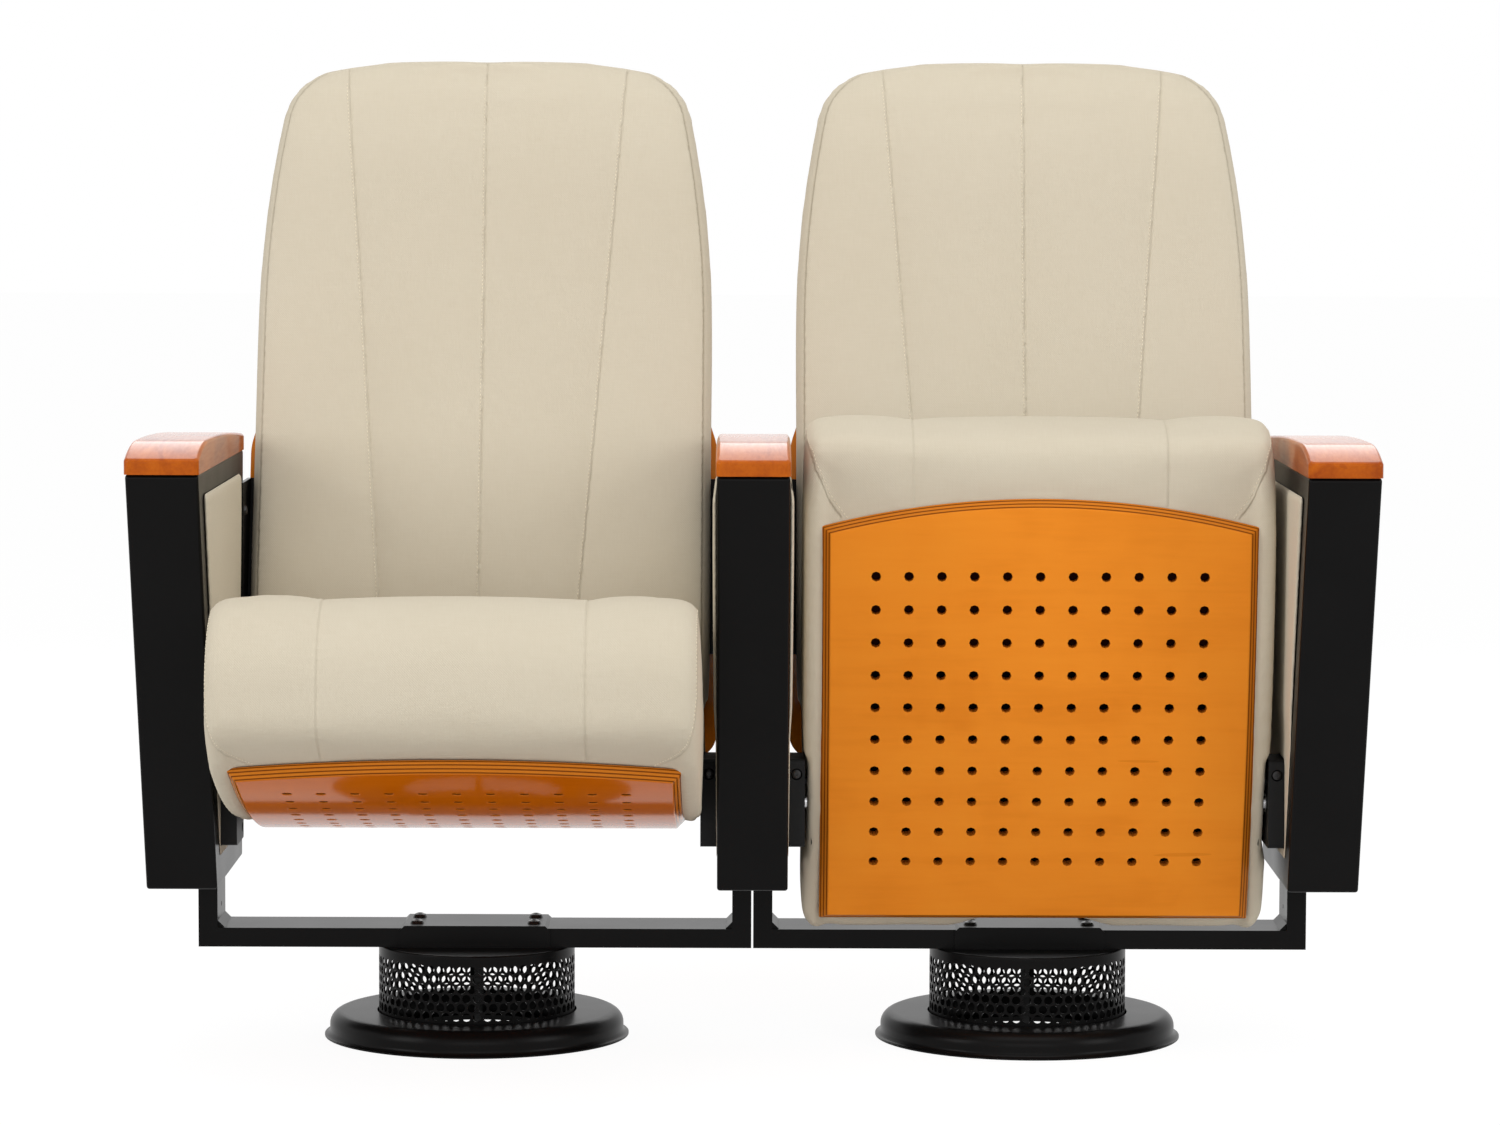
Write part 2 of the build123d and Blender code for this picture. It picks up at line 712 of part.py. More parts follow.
def bent_sheet(outer, inner, front, rear):
    """The section of a sheet bent round the panel's centre."""
    middle = (front + rear) / 2
    edges = [
        ThreePointArc(on_panel(front, outer), on_panel(middle, outer), on_panel(rear, outer)),
        Line(on_panel(rear, outer), on_panel(rear, inner)),
        ThreePointArc(on_panel(rear, inner), on_panel(middle, inner), on_panel(front, inner)),
        Line(on_panel(front, inner), on_panel(front, outer)),
    ]
    return make_face(edges)


def panel_section():
    """The bent panel's section, a little long in front, with a slanted rear edge."""
    front = panel_front_angle + 0.2
    middle = (panel_front_angle + panel_rear_angle) / 2
    rear = panel_rear_angle
    inner = panel_inner_radius
    set_back = rear + degrees(panel_bevel / panel_radius)
    slant = [on_panel(set_back, panel_radius), on_panel(rear, panel_radius - panel_bevel)]
    return make_face([
        ThreePointArc(on_panel(front, panel_radius), on_panel(middle, panel_radius), slant[0]),
        *Polyline(*slant, on_panel(rear, inner)).edges(),
        ThreePointArc(on_panel(rear, inner), on_panel(middle, inner), on_panel(front, inner)),
        Line(on_panel(front, inner), on_panel(front, panel_radius)),
    ])


def panel_sides():
    """A ring round the axis that the panel is bent about, with the panel's slanted sides."""
    half = panel_half
    centre_y, centre_z = panel_centre
    low = centre_z - panel_radius - spare
    start = centre_z - panel_radius + panel_bevel
    top = centre_z - panel_radius + panel_thickness + spare
    draw = panel_bevel + spare
    plane = Plane(origin=(0, centre_y, 0), x_dir=(1, 0, 0), z_dir=(0, -1, 0))
    outline = Polygon(
        (-half, top), (half, top), (half, start), (half - draw, low), (draw - half, low), (-half, start),
        align=None,
    )
    axis = Axis((0, centre_y, centre_z), (-1, 0, 0))
    return revolve(plane * outline, axis, revolution_arc=panel_front_angle + 5)


def panel_front(inset, depth):
    """The panel seen square to its front edge, drawn in by an inset, at a depth below its outer face."""
    radius = (panel_half ** 2 + panel_arch ** 2) / (2 * panel_arch)
    wide = panel_half + 2 * spare
    corner = radius - sqrt((radius - inset) ** 2 - wide ** 2)
    angle = radians(panel_front_angle)
    start = (0, *on_panel(panel_front_angle, panel_radius))
    plane = Plane(origin=start, x_dir=(1, 0, 0), z_dir=(0, sin(angle), cos(angle)))
    rest = Polyline((wide, corner), (wide, panel_radius), (-wide, panel_radius), (-wide, corner))
    arc = ThreePointArc((-wide, corner), (0, inset), (wide, corner))
    return plane.offset(depth) * make_face([arc, *rest.edges()])


def panel_blank():
    """The bent sheet with its arched front edge and slanted rim, before it is drilled."""
    full = panel_front(0, panel_bevel)
    front = loft([panel_front(panel_bevel + spare, -spare), full], ruled=True) + extrude(full, panel_half)
    return side_slab(panel_section(), -panel_half - spare, panel_half + spare) & panel_sides() & front


def seat_panel():
    """The bent plywood panel under a seat, with its arched front edge and its holes."""
    step = degrees(hole_pitch_y / panel_radius)
    first = panel_front_angle - degrees(hole_first / panel_radius)
    hole = extrude(RegularPolygon(hole_size / 2, 6), panel_thickness, both=True)
    cutters = []
    for row in range(hole_rows):
        angle = first - row * step
        y, z = on_panel(angle, panel_radius - panel_thickness / 2)
        for column in range(hole_columns):
            x = (column - (hole_columns - 1) / 2) * hole_pitch_x
            cutters.append(Pos(x, y, z) * Rot(-angle, 0, 0) * hole)
    for x, y, z, angle in panel_screw_places(panel_thickness):
        cutters.append(Pos(x, y, z) * Rot(-angle, 0, 0) * Cylinder(screw / 2, 2 * panel_screw_bite))
    return panel_blank() - cutters


def panel_screw_places(depth):
    """The screws that hold the panel to the tray's feet: X, Y, Z at a depth, and lean."""
    found = []
    for angle in panel_screw_angles:
        y, z = on_panel(angle, panel_radius - depth)
        for side in (-1, 1):
            found.append((side * (tray_half - panel_screw_inset), y, z, angle))
    return found


def seat_tray():
    """The pressed steel tray inside a seat, with side walls and feet on the panel."""
    lower = panel_inner_radius - side_gap
    upper = lower - tray_height
    front = tray_front_angle
    rear = tray_rear_angle
    block = side_slab(bent_sheet(lower, upper, front, rear), -tray_half, tray_half)
    inner = tray_half - tray_wall
    hollow = side_slab(bent_sheet(lower + 5, upper + tray_wall, front + 2, rear - 2), -inner, inner)
    tray = block - hollow
    for side in (-1, 1):
        edge = side * (inner - tray_foot)
        foot = side_slab(bent_sheet(lower, lower - tray_wall, front, rear), side * inner, edge)
        notch_y = (pivot_y - 16, pivot_y + 16)
        notch = box((edge - side, side * inner), notch_y, (pivot_z - 25, pivot_z - 6))
        tray = tray + (foot - notch)
        tray = tray - rod(pin_diameter / 2, side * (inner - 2), side * (tray_half + 2), pivot_y, pivot_z)
        for y, z in arm_screw_places():
            tray = tray - rod(screw / 2 + side_gap, side * (inner - 2), side * (tray_half + 2), y, z)
    for x, y, z, angle in panel_screw_places(panel_thickness):
        tray = tray - Pos(x, y, z) * Rot(-angle, 0, 0) * Cylinder(screw / 2 + side_gap, tray_height / 2)
    return tray


def seat_fasteners():
    """The screws from inside the tray into the panel, and those through the hinge plates."""
    found = []
    foot = side_gap + tray_wall + screw_seat
    for x, y, z, angle in panel_screw_places(panel_thickness + foot):
        found.append(Pos(x, y, z) * Rot(-angle, 0, 0) * button_bolt(screw, foot + panel_screw_bite))
    for side in (-1, 1):
        for y, z in arm_screw_places():
            bolt = Rot(0, 90 * side, 0) * button_bolt(screw, plate_outer - tray_half + 7)
            found.append(Pos(side * plate_outer, y, z) * bolt)
    return found


def seat_corners(sink, draw, skirt):
    """The corners of a lengthwise section of the seat cushion, sunk at a seam or drawn in at a side."""
    under = panel_inner_radius - side_gap + skirt
    front = on_panel(panel_front_angle - draw * 0.04, under)
    heel_angle = degrees((panel_sole_y - seat_heel_y + 2 * cheek_bulge_share * draw) / under)
    return [
        (front[0] + 2, front[1]),
        (seat_nose_y + draw + sink, seat_nose_foot + draw * cheek_bulge_share),
        (seat_nose_y + seat_nose_lean + draw + sink, seat_nose_top - draw - sink),
        (seat_heel_top_y - draw - sink, seat_heel_top - draw - sink),
        on_panel(heel_angle, under),
    ]


def seat_section(x, sink=0.0, draw=0.0, skirt=0.0):
    """One closed section of the seat cushion, whose underside follows the bent panel."""
    radii = [4, foot_round, nose_round - draw, heel_round - draw / 2, heel_foot_round]
    corners = [(x, y, z) for y, z in seat_corners(sink, draw, skirt)]
    points = rounded_points(corners, radii)
    sole_angle = (panel_front_angle + panel_rear_angle) / 2
    sole = on_panel(sole_angle, panel_inner_radius - side_gap + skirt)
    edges = [Edge.make_three_point_arc(*points[0])]
    for before, after in zip(points, points[1:]):
        edges.append(Edge.make_line(before[2], after[0]))
        edges.append(Edge.make_three_point_arc(*after))
    edges.append(Edge.make_three_point_arc(points[-1][2], (x, *sole), points[0][0]))
    return Wire(edges)


def seat_cheek(side):
    """The rounded end of the seat cushion, from its last seam to its drawn in side."""
    sections = []
    for turn in (0, 22, 40, 56, 70, 84):
        bulge = (seat_half - seat_flat_half) * sin(radians(turn)) / sin(radians(84))
        draw = cheek_draw * (1 - cos(radians(turn)))
        skirt = cheek_skirt * (1 - 0.5 * sin(radians(turn)))
        sections.append(seat_section(side * (seat_flat_half + bulge), seam_sink, draw, skirt))
    return Solid.make_loft(sections, ruled=True)


def seat_wing(side):
    """A side panel of the seat cushion, crowned between its seam and its cheek."""
    middle = (seat_seam + seat_flat_half) / 2
    return Solid.make_loft([
        seat_section(side * seat_seam, seam_sink),
        seat_section(side * middle, -seat_crown / 2),
        seat_section(side * seat_flat_half, seam_sink),
    ])


def seat_cushion():
    """The seat's soft upholstery: three crowned panels between sewn seams, and two cheeks."""
    sinks = [seam_sink, -seat_crown * 0.7, -seat_crown, -seat_crown * 0.7, seam_sink]
    places = [(index - 2) * seat_seam / 2 for index in range(5)]
    body = Solid.make_loft([seat_section(x, sink) for x, sink in zip(places, sinks)])
    sides_made = [make(side) for side in (-1, 1) for make in (seat_wing, seat_cheek)]
    return seat_recesses(body.fuse(*sides_made))


def seat_recesses(body):
    """Cut the cushion clear of the tray and of the hinge parts."""
    lower = panel_inner_radius + 20
    upper = panel_inner_radius - 2 * side_gap - tray_height
    half = tray_half + side_gap
    tray_room = side_slab(
        bent_sheet(lower, upper, tray_front_angle + 0.1, tray_rear_angle - 0.1), -half, half
    )
    sole = panel_inner_radius - side_gap
    board_room = side_slab(
        bent_sheet(lower, sole, panel_front_angle + 3, panel_rear_angle - 6), -panel_half - 1, panel_half + 1
    )
    cutters = [tray_room, board_room]
    for side in (-1, 1):
        start = side * (plate_inner - side_gap)
        pocket = rod(plate_length / 2 + pocket_room, start, side * (seat_half + 5), pivot_y, pivot_z)
        cutters.append(pocket)
        face = side * (tray_half - 1)
        boss = rod(boss_diameter / 2 + boss_room, face, side * (plate_inner + 1), pivot_y, pivot_z)
        cutters.append(boss)
        for y, z in arm_screw_places():
            cutters.append(rod(arm_boss_diameter / 2 + boss_room, face, side * (plate_inner + 1), y, z))
    arch = Rot(90, 0, 0) * Cylinder(heel_arch_radius, 2 * seat_half)
    arch = Pos(0, pivot_y, heel_arch_top - heel_arch_radius) * arch
    return body - [*cutters, raised(arch, -tip_angle)]


# ---- backs --------------------------------------------------------------------------------
def shell_line(offset):
    """The front face of a back shell in side view, moved forward by an offset."""
    return [
        (shell_foot_y - offset, shell_bottom - 40),
        (shell_bend_y - offset, shell_bend_z),
        (shell_mid_y - offset, shell_mid_z),
        (shell_head_y - offset, back_top + 20),
    ]


def shell_band(near, far):
    """The side view of a layer behind a cushion, between two distances from the shell's face."""
    bends = [260, 900]
    front = FilletPolyline(*shell_line(near), radius=bends)
    rear = FilletPolyline(*shell_line(far), radius=bends)
    ends = [Line(front @ 0, rear @ 0), Line(front @ 1, rear @ 1)]
    return make_face([*front.edges(), *rear.edges(), *ends])


def shell_outline(half, top_half, bottom, top, shoulder):
    """The front view of a shell: straight sides, then drawn in to a rounded top."""
    points = [
        (-half, bottom), (half, bottom), (half, shoulder), (half - 24, shoulder + 70),
        (top_half, top), (-top_half, top), (24 - half, shoulder + 70), (-half, shoulder),
    ]
    return rounded_face(points, [24, 24, 60, 120, 50, 50, 120, 60])


def bent_board(near, far, outline):
    """A layer of bent plywood, cut to an outline seen from the front."""
    layer = side_slab(shell_band(near, far), -shell_half - 5, shell_half + 5)
    prism = extrude(Plane.XZ * outline, 400, both=True)
    return layer & prism


def back_shell():
    """The outer bent plywood shell."""
    outline = shell_outline(shell_half, shell_top_half, shell_bottom, shell_top, shell_shoulder_z)
    return bent_board(0, -shell_thickness, outline)


def back_board():
    """The inner board that the cushion is built on."""
    foot, head = back_bottom + 22, shell_top - 12
    outline = shell_outline(board_half, shell_top_half - 8, foot, head, shell_shoulder_z)
    return bent_board(side_gap + board_thickness, side_gap, outline)


def back_bracket(side):
    """The steel angle between an arm's rear border and the back shell."""
    height = bracket_top - bracket_bottom
    strip = Pos(0, bracket_bottom + height / 2) * Rectangle(2 * shell_half, height)
    outer = side * (bay_half - side_gap)
    foot = bent_board(side_gap + bracket_thickness, side_gap, strip)
    foot = foot & box((side * (board_half + 3), outer), (-500, 500), (0, back_top))
    far = side_gap + 1
    web_face = make_face(Polyline(
        (bracket_front, bracket_bottom), (shell_y(bracket_bottom) - far, bracket_bottom),
        (shell_y(bracket_top) - far, bracket_top), (arm_edge_y(bracket_top, False) - 46, bracket_top),
        close=True,
    ))
    web = side_slab(web_face, outer - side * bracket_thickness, outer)
    web = web & box((-bay_half, bay_half), (0, shell_line(side_gap)[-1][0]), (bracket_bottom, bracket_top))
    bracket = foot + web
    for y, z in bracket_bolt_places():
        bracket = bracket - rod(screw / 2 + side_gap, side * (bay_half - 10), side * (bay_half + 5), y, z)
    return bracket


def shell_y(height):
    """Where the straight middle run of the shell's front face is at some height."""
    share = (height - shell_bend_z) / (shell_mid_z - shell_bend_z)
    return shell_bend_y + share * (shell_mid_y - shell_bend_y)


def bracket_bolt_places():
    """The bolts of a bracket in the rear border of an arm."""
    return [(arm_edge_y(z, False) - 26, z) for z in (bracket_bottom + 30, bracket_top - 30)]


def bracket_bolts(middle):
    """The bolts that hold one back's brackets to the arms."""
    found = []
    for side in (-1, 1):
        for y, z in bracket_bolt_places():
            bolt = Rot(0, -90 * side, 0) * button_bolt(screw, bracket_thickness + side_gap + arm_wall + 5)
            found.append(Pos(middle + side * (bay_half - side_gap - bracket_thickness), y, z) * bolt)
    return found


def back_front_y(height):
    """The crown line of a back cushion: lumbar swell, recline, then a more upright head."""
    if height < lumbar_z:
        share = (lumbar_z - height) / (lumbar_z - back_bottom)
        return lumbar_y + (back_foot_y - lumbar_y) * share ** 2
    if height < back_mid_z:
        share = (height - lumbar_z) / (back_mid_z - lumbar_z)
        return lumbar_y + (back_mid_y - lumbar_y) * (0.55 * share + 1.35 * share ** 2 - 0.9 * share ** 3)
    share = (height - back_mid_z) / (back_top - back_mid_z)
    return back_mid_y + (back_head_y - back_mid_y) * (share * 1.25 - 0.25 * share ** 2)


def back_section(height, inset=0.0):
    """A level section of the back cushion: four crowned panels, two gussets and a flat rear."""
    width = back_half - back_taper * max(0.0, height - back_waist_z) ** 2 - inset
    edge = width - back_gusset_bulge
    slide = (back_top - height) / (back_top - back_bottom)
    seam = min(back_seam_top + (back_seam_bottom - back_seam_top) * slide, 0.62 * edge)
    shrink = min(inset, 24) * 0.55
    front = back_front_y(height) + shrink
    crown = back_crown
    rear = front + crown + back_gusset - 2 * shrink
    knots = [-edge, -seam, 0, seam, edge]
    points = [(x, front + crown * (x / edge) ** 2 + (back_seam_sink if abs(x) < edge else 0)) for x in knots]
    edges = []
    for start, end in zip(points, points[1:]):
        x = (start[0] + end[0]) / 2
        middle = (x, front + crown * (x / edge) ** 2 - back_panel_swell)
        edges.append(Edge.make_three_point_arc((*start, height), (*middle, height), (*end, height)))
    gusset = (width, front + crown + 0.45 * (rear - front - crown))
    last = (width - back_rear_set, rear)
    edges.append(Edge.make_three_point_arc((*points[-1], height), (*gusset, height), (*last, height)))
    edges.append(Edge.make_line((*last, height), (-last[0], last[1], height)))
    far_side = [(-last[0], last[1], height), (-gusset[0], gusset[1], height), (*points[0], height)]
    edges.append(Edge.make_three_point_arc(*far_side))
    return Wire(edges)


def back_cushion():
    """The back's soft upholstery: a smooth middle, with rounded head and foot, cut flat behind."""
    foot_start = back_bottom + back_foot_round
    middle = [(height, 0.0) for height in (foot_start, lumbar_z, 520, 640, 760, 860, shoulder_start)]
    turns = (0, 20, 38, 54, 68, 80)
    foot = [round_station(foot_start, -back_foot_round, turn) for turn in turns]
    head = [round_station(shoulder_start, shoulder_round, turn) for turn in turns]
    head.append((back_top, 2 * shoulder_round))
    body = Solid.make_loft([back_section(height, inset) for height, inset in middle])
    ends = [Solid.make_loft([back_section(*station) for station in end], ruled=True) for end in (foot, head)]
    reach = back_half + spare
    behind = side_slab(shell_band(2 * side_gap + board_thickness, -90), -reach, reach)
    return body.fuse(*ends) - behind


def round_station(start, radius, turn):
    """The height and the inset of a section on a rounded end, by the angle turned."""
    return start + radius * sin(radians(turn)), abs(radius) * (1 - cos(radians(turn)))


# ---- the whole unit -------------------------------------------------------------------------
def build_pedestals():
    """Write the two pedestals."""
    for name, x in seats.items():
        place = Pos(x, 0, 0)
        save(name + "_floor_flange", place * floor_flange())
        save(name + "_base_cover", place * base_cover())
        save(name + "_perforated_drum", place * drum())
        save(name + "_pedestal_web", place * pedestal_web())
        save(name + "_pedestal_head", place * pedestal_head())
        save(name + "_saddle_plate", place * saddle_plate())
    save("saddle_bolts", group([Pos(x, 0, 0) * bolt for x in seats.values() for bolt in saddle_bolts()]))


def build_frames():
    """Write the two U frames."""
    for name, x in seats.items():
        save(name + "_beam", beam(x))
        for side_name, side in sides.items():
            save(name + "_frame_" + side_name + "_upright", upright(x, side))


def build_arms():
    """Write the three arms."""
    for name, x in arms.items():
        save(name + "_arm_casing", Pos(x, 0, 0) * arm_casing(name))
        save(name + "_arm_pads", group([Pos(x, 0, 0) * arm_pad(name, side) for side in (-1, 1)]))
        save(name + "_armrest", Pos(x, 0, 0) * armrest())
    screws = [part for x in arms.values() for part in armrest_screws(x) + foot_screws(x)]
    save("arm_screws", group(screws))


def build_hinges():
    """Write the hinge boxes with their bushes and screws."""
    for name, x in seats.items():
        for side_name, side in sides.items():
            save(name + "_seat_" + side_name + "_hinge_box", Pos(x, 0, 0) * hinge_box(side))
    places = [(x, side) for x in seats.values() for side in (-1, 1)]
    save("hinge_bushes", group([Pos(x, 0, 0) * hinge_bush(side) for x, side in places]))
    fixings = [Pos(x, 0, 0) * part for x, side in places for part in box_fasteners(side)]
    save("hinge_box_screws", group(fixings))


def build_seats():
    """Write the two seats: the left one down, the right one tipped up."""
    for name, x in seats.items():
        angle = 0 if name == "left" else tip_angle
        pieces = {
            "_seat_cushion": seat_soft,
            "_seat_tray": seat_tray(),
            "_seat_panel": seat_panel(),
            "_seat_left_hinge_arm": hinge_arm(-1),
            "_seat_right_hinge_arm": hinge_arm(1),
            "_seat_pivot_pins": group([pivot_pin(side) for side in (-1, 1)]),
            "_seat_damper_cartridges": group([damper_cartridge(side) for side in (-1, 1)]),
            "_seat_screws": group(seat_fasteners()),
        }
        for tail, shape in pieces.items():
            save(name + tail, Pos(x, 0, 0) * raised(shape, angle))


def build_backs():
    """Write the two backs."""
    for name, x in seats.items():
        save(name + "_back_cushion", Pos(x, 0, 0) * back_cushion())
        save(name + "_back_board", Pos(x, 0, 0) * back_board())
        save(name + "_back_shell", Pos(x, 0, 0) * shell_bent)
        save(name + "_back_brackets", group([Pos(x, 0, 0) * back_bracket(side) for side in (-1, 1)]))
    save("back_bracket_bolts", group([bolt for x in seats.values() for bolt in bracket_bolts(x)]))


seat_soft = seat_cushion()
shell_bent = back_shell()
unit_shift = -(seat_soft.bounding_box().min.Y + shell_bent.bounding_box().max.Y) / 2
print("shift in Y from the pedestals' axis to the origin:", round(unit_shift, 4))
os.makedirs("parts", exist_ok=True)
build_pedestals()
build_frames()
build_arms()
build_hinges()
build_seats()
build_backs()
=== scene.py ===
"""The looks of a two place unit of tip up auditorium seating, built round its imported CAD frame.

X runs along the row, Y away from the sitters' knees and Z up, all in metres. The left seat rests
down and the right seat rests up, as they stand in a showroom.
"""

import json
import logging
from dataclasses import dataclass
from enum import Enum
from math import cos, hypot, pi, radians, sin, sqrt, tau
from typing import Any, Sequence

import bmesh
import bpy
import numpy as np
from mathutils import Matrix, Vector
from mathutils.bvhtree import BVHTree


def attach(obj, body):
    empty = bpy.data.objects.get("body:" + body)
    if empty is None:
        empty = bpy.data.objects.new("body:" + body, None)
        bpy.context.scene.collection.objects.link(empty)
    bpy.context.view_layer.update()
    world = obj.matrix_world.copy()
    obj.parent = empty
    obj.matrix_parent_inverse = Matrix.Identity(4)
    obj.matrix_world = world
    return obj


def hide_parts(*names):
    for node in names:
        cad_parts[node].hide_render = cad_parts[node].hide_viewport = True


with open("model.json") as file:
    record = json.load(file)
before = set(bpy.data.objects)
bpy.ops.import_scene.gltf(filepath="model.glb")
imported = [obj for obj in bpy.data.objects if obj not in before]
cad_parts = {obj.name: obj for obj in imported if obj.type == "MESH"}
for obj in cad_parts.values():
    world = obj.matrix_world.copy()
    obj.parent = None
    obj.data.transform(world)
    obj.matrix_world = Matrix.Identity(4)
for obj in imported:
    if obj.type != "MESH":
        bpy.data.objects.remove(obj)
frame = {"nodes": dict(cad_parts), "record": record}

LOG = logging.getLogger("seating")
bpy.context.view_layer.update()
SHIFT = 0.1065435           # pedestals' axis, measured in Y from the origin
PITCH = 0.58                # middle of one arm to the middle of the next
PIVOT = Vector((0.0, SHIFT - 0.122, 0.262))
TIP = radians(63.4)         # from down to up
TINY = 1e-6                 # distances that count as none
CLOSE = 1e-5
LEVEL = 0.001               # heights nearer than this are on one level

Triple = tuple[float, float, float]
Colour = Triple


# ---- materials -----------------------------------------------------------------------------------


class Signal:
    """One output socket of a material's nodes, with arithmetic that adds Math nodes."""

    def __init__(self, graph: "Graph", socket: bpy.types.NodeSocket) -> None:
        """Keep a socket and the graph that it belongs to."""
        self.graph = graph
        self.socket = socket

    def __add__(self, other: Any) -> "Signal":
        """This value plus another."""
        return self.graph.maths("ADD", self, other)

    __radd__ = __add__

    def __sub__(self, other: Any) -> "Signal":
        """This value less another."""
        return self.graph.maths("SUBTRACT", self, other)

    def __rsub__(self, other: Any) -> "Signal":
        """Another value less this one."""
        return self.graph.maths("SUBTRACT", other, self)

    def __mul__(self, other: Any) -> "Signal":
        """This value times another."""
        return self.graph.maths("MULTIPLY", self, other)

    __rmul__ = __mul__

    def __gt__(self, other: Any) -> "Signal":
        """One where this value is larger, and zero elsewhere."""
        return self.graph.maths("GREATER_THAN", self, other)


class Graph:
    """The node tree of one material, or of the world."""

    def __init__(self, name: str, owner: bpy.types.World | None = None) -> None:
        """Start with an empty tree.

        Args:
            name: The name of the material, where no owner is given.
            owner: The world, if the tree is not a material's.
        """
        self.material = owner or bpy.data.materials.new(name)
        self.material.use_nodes = True
        self.tree = self.material.node_tree
        self.tree.nodes.clear()

    def add(self, kind: str, settings: dict | None = None, sockets: dict | None = None,
            output: int | str = 0) -> Signal:
        """Add one node.

        Args:
            kind: The node's type.
            settings: Attributes to set first. "stops" fills a colour ramp.
            sockets: Values or signals for its inputs, by name or number.
            output: Which output to return.

        Returns:
            The chosen output.
        """
        node = self.tree.nodes.new(kind)
        for key, value in (settings or {}).items():
            if key == "stops":
                self._fill_ramp(node.color_ramp, value)
            else:
                setattr(node, key, value)
        for key, value in (sockets or {}).items():
            if isinstance(value, Signal):
                self.tree.links.new(value.socket, node.inputs[key])
            else:
                node.inputs[key].default_value = value
        return Signal(self, node.outputs[output] if node.outputs else None)

    @staticmethod
    def _fill_ramp(ramp: bpy.types.ColorRamp, stops: Sequence[tuple[float, Colour]]) -> None:
        """Give a colour ramp its stops."""
        while len(ramp.elements) < len(stops):
            ramp.elements.new(0.5)
        for element, (place, colour) in zip(ramp.elements, stops):
            element.position = place
            element.color = (*colour, 1.0)

    def maths(self, operation: str, *values: Any) -> Signal:
        """A Math node on one, two or three values."""
        return self.add("ShaderNodeMath", {"operation": operation}, dict(enumerate(values)))

    def blend(self, share: Any, first: Any, second: Any) -> Signal:
        """A colour between two colours, by a share from 0 to 1."""
        start, end = (value if isinstance(value, Signal) else (*value, 1.0) for value in (first, second))
        return self.add("ShaderNodeMix", {"data_type": "RGBA"}, {0: share, 6: start, 7: end}, output=2)

    def place(self, turn: float = 0.0) -> Signal:
        """Object coordinates, turned about X by an angle in radians."""
        source = self.add("ShaderNodeTexCoord", output="Object")
        return self.add("ShaderNodeMapping", sockets={0: source, 2: (turn, 0.0, 0.0)})

    def noise(self, vector: Signal, scale: float, detail: float = 2.0, distortion: float = 0.0) -> Signal:
        """Soft noise between 0 and 1."""
        return self.add("ShaderNodeTexNoise", sockets={
            "Vector": vector, "Scale": scale, "Detail": detail, "Distortion": distortion,
        })

    def split(self, vector: Signal) -> tuple[Signal, Signal, Signal]:
        """The three parts of a vector."""
        outputs = self.add("ShaderNodeSeparateXYZ", sockets={0: vector}).socket.node.outputs
        return Signal(self, outputs[0]), Signal(self, outputs[1]), Signal(self, outputs[2])

    def stretch(self, vector: Signal, scale: Triple) -> Signal:
        """A vector times a fixed factor on each axis."""
        return self.add("ShaderNodeVectorMath", {"operation": "MULTIPLY"}, {0: vector, 1: scale})

    def bump(self, height: Signal, strength: float, distance: float) -> Signal:
        """A normal that follows a height."""
        return self.add("ShaderNodeBump", sockets={
            "Height": height, "Strength": strength, "Distance": distance,
        })

    def finish(self, sockets: dict) -> bpy.types.Material:
        """Close the tree with one Principled shader.

        Args:
            sockets: Values or signals for the shader.

        Returns:
            The material.
        """
        shader = self.add("ShaderNodeBsdfPrincipled", sockets=sockets)
        self.add("ShaderNodeOutputMaterial", sockets={"Surface": shader})
        return self.material


